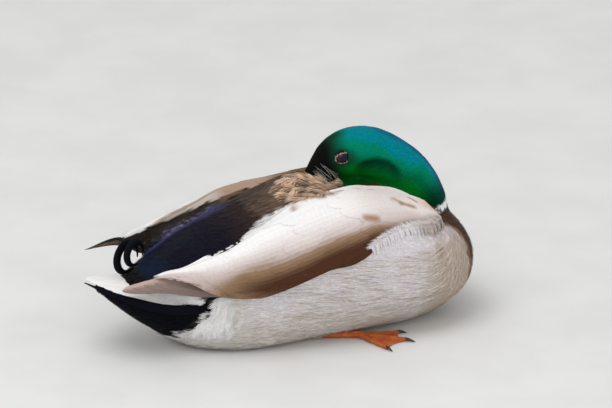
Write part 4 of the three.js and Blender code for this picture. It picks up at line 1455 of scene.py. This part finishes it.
roots = throw_roots(near((43, -19, 157.5), (10, 10, 7)), 2.5, 43)
print("barbs:", len(roots[0]))
barbs("face_wisps", roots, np.random.default_rng(44), 15, 13, paint(196, 190, 186), 45)
roots = throw_roots(near((17, -14, 159), (8, 8, 7)), 4.0, 49)
barbs("yellow_wisps", roots, np.random.default_rng(50), 6, 7, paint(240, 222, 170), 51)


# %% Flank feathers over the wing's edge
def flank_edge(side, lot):
    "Feathers that grow from the flank below a wing and reach up over its lower edge, and over its front end."
    sign, rng = SIDES[side], np.random.default_rng(lot)
    edge = lower_edge(sign)
    gaps = np.linalg.norm(centres[:, None] - edge[None], axis=2).min(1)
    below = np.interp(cx, edge[:, 0], edge[:, 2]) - cz
    chosen = on_trunk & (cy * sign > 30) & (gaps < 15) & ((below > -3) | (cx > 136)) & (cx > 64) & (cx < 154)
    roots = throw_roots(chosen, lambda p: 1.9 - 0.5 * smooth(p[:, 0], 118, 130), lot)
    p = roots[0]
    x_edge = np.minimum(p[:, 0] - rng.uniform(3, 6, len(p)), 141)
    along = np.minimum(x_edge - rng.uniform(3, 9, len(p)), 138)
    # how far the tips pass the edge, mm
    over = 0.8 + 4 * smooth(p[:, 0], 56, 66) + 4 * smooth(p[:, 0], 126, 140)
    shift = wing_shift(p[:, 0], sign)[:, 0]
    share = np.maximum(1 - over * rng.uniform(-0.1, 1.7, len(p)) / wing_girth(along), 0.1)

    def outwards(x, share):
        return guide_normal(lambda a, b: wing_at(a, b, sign), x, share) * sign

    up = outwards(along + shift, share)
    tip = wing_at(along + shift, share, sign) + up * 1.3
    over_edge = wing_at(x_edge + shift, np.ones(len(p)), sign)
    over_edge = over_edge + outwards(x_edge + shift, np.full(len(p), 0.97)) * 1.6

    def slaty(tint, u, v, p, rng):
        streak = side_by_side(u, p, rng, 0.08)
        here = smooth(p[:, 0], 60, 70) * (1 - smooth(p[:, 0], 112, 124))
        some = (rng.random((len(p), 1)) > 0.62) * here[:, None]
        return mix(tint * streak[..., None], SLATE, smooth(v, 0.45, 0.9) * some * 0.85)

    def flank_colour(p, rng):
        return mix(body_colour(p, 0 * p), paint(226, 214, 208), smooth(p[:, 0], 112, 124))

    lay_feathers("flank_edge_" + side, FANS, roots, 15, 3.9, 0.6, lot + 1, recolour=slaty, tint=flank_colour,
                 tips=(tip, up), via=over_edge, sink=0.0, lines=0.4, material=barred)


for side in SIDES:
    flank_edge(side, 45 + SIDES[side])

# %% Long barbs down the lower flank
for side, sign in SIDES.items():
    edge = lower_edge(sign)
    clear = np.interp(cx - 18, edge[:, 0], edge[:, 2]) - cz > 3  # whose tips stay below the wing's edge
    low = on_trunk & (cy * sign > 0) & (cz > 34) & (cz < 92) & (cx > -20) & (cx < 140) & (clear | (cx > 72))
    roots = throw_roots(low, 3.2, 61 + sign)
    lay_feathers("flank_barbs_" + side, WISPS, roots, 20, 0.5, 2.2, 67 + sign, stir=0.1, vary=2.0, sink=-0.8,
                 tint=lambda p, rng: mix(paint(242, 236, 226) + 0 * p, paint(196, 182, 168),
                                         rng.random(len(p)) > 0.6))

# %% White fluff before the undertail
def pale_tip(tint, u, v, p, rng):
    return tint * (0.93 + 0.13 * v[..., None])


fluffy = on_trunk & (np.abs(cy) > 28) & (cx > -120) & (cx < -70) & (cz > 34) & (cz < 70)
fluffy = fluffy & (cx > -94 - 0.75 * (64 - cz))
roots = throw_roots(fluffy, 3.0, 47)
odds = 1 - 0.97 * smooth(roots[0][:, 0], -92, -76)
roots = keep(roots, np.random.default_rng(52).random(len(roots[0])) < odds)
lay_feathers("white_fluff", FLUFF, roots, 22, 6.5, 2.4, 48, stir=0.18, lean=np.array([0.35, 0, -2.4]),
             tint=lambda p, rng: mix(WHITE + 0 * p, body_colour(p, 0 * p), smooth(p[:, 0], -88, -76)),
             recolour=pale_tip, curve=0.5)

# %% [markdown]
# ## Eyes
# A duck's eye is a dark ball that shows through an almond opening about 13 mm long, with a thin fleshy
# lid round it. The ball is a glossy UV sphere, a little flattened so that it stands out no more than a
# real one. The lid is a ring-shaped grid: its inner edge lies on the ball along the almond, and its outer
# edge meets the skin, which we find by casting a ray at it.

# %% Eyeballs
PUPIL, IRIS = 3.5, 5.8  # radii in mm
FLATTENED = 0.84  # the ball's depth as a share of its width


def from_eye(wire):
    "Distance from the eye's axis in mm, across the bird's side."
    centre = place(EYE)
    off = vector_maths(wire, "SUBTRACT", in_space(wire), (centre[0], 0, centre[2]))
    flat = vector_maths(wire, "MULTIPLY", off, (1000, 0, 1000))
    return wire.node("ShaderNodeVectorMath", {"operation": "LENGTH"}, out=1, _0=flat)


def eye_finish(wire):
    away = from_eye(wire)
    fibres = away + (speckle(wire, 1.2, 3.0) - 0.5) * 0.5
    iris = fibres.between(PUPIL - 0.3, PUPIL + 0.3).blend(rgba(8, 7, 12), rgba(44, 30, 30))
    colour = away.between(IRIS - 0.4, IRIS + 0.4).blend(iris, rgba(14, 10, 12))
    return {"Base Color": colour, "Roughness": 0.06 + 0.03 * speckle(wire, 3)}


eye_material = finish_of("glossy_eye", {"Specular IOR Level": 0.32, "Specular Tint": (0.72, 0.66, 1, 1)},
                         eye_finish)


def eyeball(side):
    ball = bmesh.new()
    bmesh.ops.create_uvsphere(ball, u_segments=40, v_segments=24, radius=(EYE_RADIUS - 0.05) / 1000)
    bmesh.ops.rotate(ball, verts=ball.verts, cent=(0, 0, 0), matrix=Matrix.Rotation(math.radians(90), 3, "X"))
    bmesh.ops.scale(ball, verts=ball.verts, vec=(1, FLATTENED, 1))
    bmesh.ops.translate(ball, verts=ball.verts, vec=Vector(place(EYE * (1, SIDES[side], 1))))
    thing = to_object(ball, "eyeball_" + side, eye_material)
    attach(thing, "root")
    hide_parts("eye_" + side)


# %% Lids
def lid_finish(wire):
    out = attribute(wire, "Out", 2)
    dots = speckle(wire, 1.1, 1.0).between(0.44, 0.56)
    rim = dots.blend(rgba(44, 36, 30), rgba(188, 160, 142))
    outer = speckle(wire, 2, 2.0).between(0.35, 0.7).blend(rgba(10, 16, 13), rgba(12, 44, 36))
    colour = (out + (speckle(wire, 3, 1.0) - 0.5) * 0.3).between(0.42, 0.62).blend(rim, outer)
    bump = bumps(wire, 0.6, 0.3, dots)
    return {"Base Color": colour, "Roughness": 0.55 + 0.2 * dots, "Normal": bump}


lid_material = finish_of("eyelid_skin", {"Specular IOR Level": 0.15}, lid_finish)
OPENING, LID_WIDTH, EYE_TILT = (6.7, 4.9), 2.4, 0.2  # mm, mm, and radians


def weld(made):
    "Joins the edges of a rolled-up grid, and gives its faces one direction."
    bmesh.ops.remove_doubles(made, verts=made.verts, dist=1e-6)
    bmesh.ops.recalc_face_normals(made, faces=made.faces)


def lid(side):
    sign, ring = SIDES[side], bmesh.new()
    grid_of(ring, 8, 48)

    def around(turn, out):
        across, up = (OPENING[0] + out) * math.cos(turn), (OPENING[1] + out) * math.sin(turn)
        cos, sin = math.cos(EYE_TILT), math.sin(EYE_TILT)
        return EYE[0] + across * cos - up * sin, EYE[2] + across * sin + up * cos

    out_at = ring.verts.layers.float.new("Out")
    for vert in ring.verts:
        t, turn = vert.co.x + 0.5, (vert.co.y + 0.5) * 2 * math.pi
        vert[out_at] = t
        x, z = around(turn, LID_WIDTH * t)
        far_x, far_z = around(turn, LID_WIDTH)
        hit = skin_tree.ray_cast(Vector(place((far_x, sign * 60, far_z))), Vector((0, -sign, 0)))[0]
        on_skin = abs(hit.y) * 1000 - 0.1
        gap = math.hypot(x - EYE[0], z - EYE[2]) / EYE_RADIUS
        on_ball = EYE[1] + EYE_RADIUS * FLATTENED * math.sqrt(max(1 - gap * gap, 0.12))
        ease = float(smooth(t, 0.05, 1))
        y = on_ball + (on_skin - on_ball) * ease + 0.55 * math.sin(math.pi * min(t * 2.2, 1))
        if gap < 1:  # over the ball
            y = max(y, EYE[1] + EYE_RADIUS * FLATTENED * math.sqrt(1 - gap * gap) + 0.3 * min(t * 6, 1))
        vert.co = place((x, sign * y, z))
    weld(ring)
    if sum(f.normal.y for f in ring.faces) * sign < 0:
        bmesh.ops.reverse_faces(ring, faces=ring.faces)
    thing = to_object(ring, "eyelid_" + side, lid_material)
    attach(thing, "root")


for side in SIDES:
    eyeball(side)
    lid(side)
print("eyes and lids: 2 each")

# %% [markdown]
# ## Bill
# A drake's bill is a broad, flat horn, olive-yellow, with a slit of a nostril on each side near its root,
# a hard dark nail at its tip and a row of fine combs along the edge. Most of it lies hidden in the mantle.
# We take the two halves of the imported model, even out their nets with a fine voxel remesh, and push
# points in or out for the nostrils and the nail.

# %% Where the bill's parts lie
BILL_ROOT, BILL_TIP = np.array([31, 0, 158.5]), np.array([-28, 0, 130.5])
bill_way = unit(BILL_TIP - BILL_ROOT)
bill_up = np.array([bill_way[2], 0, -bill_way[0]])
NOSTRIL_AT, NAIL_AT = (15.0, 5.2), 59.5  # mm along the bill's line, and above it
NOSTRIL = BILL_ROOT + bill_way * NOSTRIL_AT[0] + bill_up * NOSTRIL_AT[1]


def on_bill(wire):
    "Distances in mm along, across and above the bill's line, as wires."
    off = vector_maths(wire, "SUBTRACT", in_space(wire), tuple(place(BILL_ROOT)))
    ways = (bill_way, np.array([0, 1, 0]), bill_up)
    return [vector_maths(wire, "DOT_PRODUCT", off, tuple(way * 1000), out=1) for way in ways]


def bill_finish(wire):
    along, aside, above = on_bill(wire)
    clouds = speckle(wire, 9, 3.0)
    horn = clouds.between(0.3, 0.7).blend(rgba(152, 146, 62), rgba(186, 172, 84))
    horn = (above.between(2.0, 6.5) * 0.5).blend(horn, rgba(116, 118, 52))
    horn = (aside.size().between(7.0, 11.0) * 0.5).blend(horn, rgba(206, 178, 92))
    stain = along.between(44, 58) * speckle(wire, 4, 4.0).between(0.35, 0.65) * 0.5
    stained = stain.blend(horn, rgba(84, 82, 44))
    nail = ((along - NAIL_AT) * 0.7).size() + aside.size() * 0.8
    nailed = nail.between(3.0, 4.4).blend(rgba(34, 30, 24), stained)
    nostril = ((along - NOSTRIL_AT[0]) * 0.42).size() + (above - NOSTRIL_AT[1]).size()
    pierced = nostril.between(0.9, 1.7).blend(rgba(14, 12, 8), nailed)
    combs = (along * 5.6).wave() * (1 - above.size().between(0.6, 2.0)) * along.between(16, 22)
    bump = bumps(wire, 0.5, 0.3, combs * 0.5 + speckle(wire, 1.4, 4.0) * 0.8)
    return {"Base Color": pierced, "Roughness": 0.32 + 0.2 * clouds, "Normal": bump}


bill_material = finish_of("olive_bill_horn", {"Specular IOR Level": 0.45}, bill_finish)


# %% The two halves
for half in ("upper", "lower"):
    horn = even_net(copy_of("bill_" + half), BILL_NET)
    relax(horn, 3)
    horn.normal_update()
    for vert in horn.verts:
        p = own(vert.co)
        push = 0
        if half == "upper":
            from_nail = np.hypot(*((p - BILL_TIP + bill_way * 3)[[0, 1]] / (4.2, 3.6)))
            off = p - NOSTRIL
            slit = math.hypot(float(off @ bill_way) / 3.6, float(off @ bill_up) / 1.5)
            push = 0.35 * float(1 - smooth(from_nail, 0.8, 1.1))
            push += 0.25 * math.exp(-((slit - 1.3) / 0.3) ** 2) - 0.9 * float(1 - smooth(slit, 0.4, 1.0))
        vert.co += vert.normal * push / 1000
    thing = to_object(horn, "bill_" + half + "_horn", bill_material)
    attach(thing, "root")
    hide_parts("bill_" + half)
    print(thing.name, len(thing.data.polygons), "faces")

# %% [markdown]
# ## Feet and legs
# A mallard's feet are orange. Small six-sided scales cover the webs and the backs of the toes, and a row
# of broad ones, the scutes, runs down each toe and shank. Toes, webs and shank grow into one another, so
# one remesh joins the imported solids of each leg. Scales are too small for the net, so they go into the
# bump of the finish. The claws are horn, so each foot's are a piece of their own: little bent cones.


# %% Scaly skin
def leg_finish(wire):
    cell = wire.node("ShaderNodeTexVoronoi", Vector=in_space(wire), Scale=620, Randomness=0.75)
    bead = 1 - cell.between(0.1, 0.62)
    clouds = speckle(wire, 14, 3.0)
    tint = clouds.between(0.3, 0.7).blend(rgba(200, 92, 44), rgba(226, 124, 50))
    seams = (1 - bead).blend(tint, scaled(wire, tint, 0.62))
    dusty = (speckle(wire, 5, 5.0).between(0.5, 0.75) * 0.35).blend(seams, rgba(150, 84, 50))
    bump = bumps(wire, 0.7, 0.3, bead + speckle(wire, 0.9, 2.0) * 0.3)
    return {"Base Color": dusty, "Roughness": 0.42 + 0.25 * (1 - bead), "Normal": bump}


leg_material = finish_of("orange_leg_skin", {"Specular IOR Level": 0.4}, leg_finish)


# %% Claws
def claw_finish(wire):
    streaks = speckle(wire, 1.6, 3.0)
    colour = streaks.between(0.3, 0.7).blend(rgba(26, 21, 18), rgba(66, 50, 38))
    return {"Base Color": colour, "Roughness": 0.3 + 0.2 * streaks}


claw_material = finish_of("dark_claw_horn", {}, claw_finish)
FOOT_AT, FOOT_YAW = np.array([57.0, 57.0, 0.0]), math.radians(33)
# heading of the toe in degrees, then claw from and to in mm from the heel, height there, thickness
CLAWS = [(-28, 37.5, 48.5, 2.7, 1.95), (-1, 44, 56.5, 2.8, 2.05), (36, 38.5, 49.5, 2.7, 1.95),
         (-130.5, 8.4, 17.0, 2.7, 1.7)]


def turn_by(x, y, angle):
    return x * math.cos(angle) - y * math.sin(angle), x * math.sin(angle) + y * math.cos(angle)


def on_foot(p, sign):
    "A point in the foot's own mm, X forward from the heel, to duck mm."
    return np.array([*turn_by(p[0], p[1] * sign, sign * FOOT_YAW), p[2]]) + FOOT_AT * (1, sign, 1)


def claws(side):
    "A claw is a grid rolled into a tube that closes at both ends."
    sign, made = SIDES[side], bmesh.new()
    for turn, start, end, high, thick in CLAWS:
        heading = math.radians(turn)
        for vert in grid_of(made, 12, 12):
            t, angle = vert.co.y + 0.5, (vert.co.x + 0.5) * 2 * math.pi
            r = thick * max(1 - t**1.6, 0) ** 0.75 * min(1, (t * 8) ** 0.5)
            along = start + (end - start) * t
            aside, lift = math.cos(angle) * r * 0.8, math.sin(angle) * r
            z = high + 0.5 * math.sin(math.pi * min(t * 1.2, 1)) - (high - 0.75) * t**1.5 + lift
            vert.co = place(on_foot((*turn_by(along, aside, heading), max(z, 0.12)), sign))
    weld(made)
    thing = to_object(made, "claws_" + side, claw_material)
    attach(thing, "root")


# %% Foot and leg as one piece
def leg(side):
    sign = SIDES[side]
    both = copy_of("foot_" + side)
    add_to(both, copy_of("leg_" + side, 0.0004))
    limb = even_net(both, LEG_NET)
    relax(limb, 2)
    heel, toes = on_foot((0, 0, 0), sign), []
    for turn, start, *_ in CLAWS:
        way = on_foot((*turn_by(1, 0, math.radians(turn)), 0), sign) - heel
        toes.append((heel + way * start, way))
    limb.normal_update()
    for vert in limb.verts:
        p = own(vert.co)
        for at, way in toes:
            along = float((p - at) @ way)
            aside = abs(float((p - at) @ np.array([-way[1], way[0], 0])))
            if along > -30 and aside < 3.4:  # rounded scutes on the back of a toe
                upper = float(smooth(p[2], 3.0, 4.2) * (1 - smooth(aside, 1.5, 3.0)))
                p = p + np.array(vert.normal) * 0.16 * math.sin(along * 2 * math.pi / 3.2) * upper
            if along > 1.0 and aside < 3.4:  # its end is drawn in to the claw
                p = p - way * max(along - 2.2, 0) * 0.92
        vert.co = place(p)
        vert.co.z = max(vert.co.z, 0.00002)
    bmesh.ops.recalc_face_normals(limb, faces=limb.faces)
    thing = to_object(limb, "scaly_leg_" + side, leg_material)
    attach(thing, "root")
    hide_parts("foot_" + side, "leg_" + side)
    print(thing.name, len(thing.data.polygons), "faces")


for side in SIDES:
    leg(side)
    claws(side)
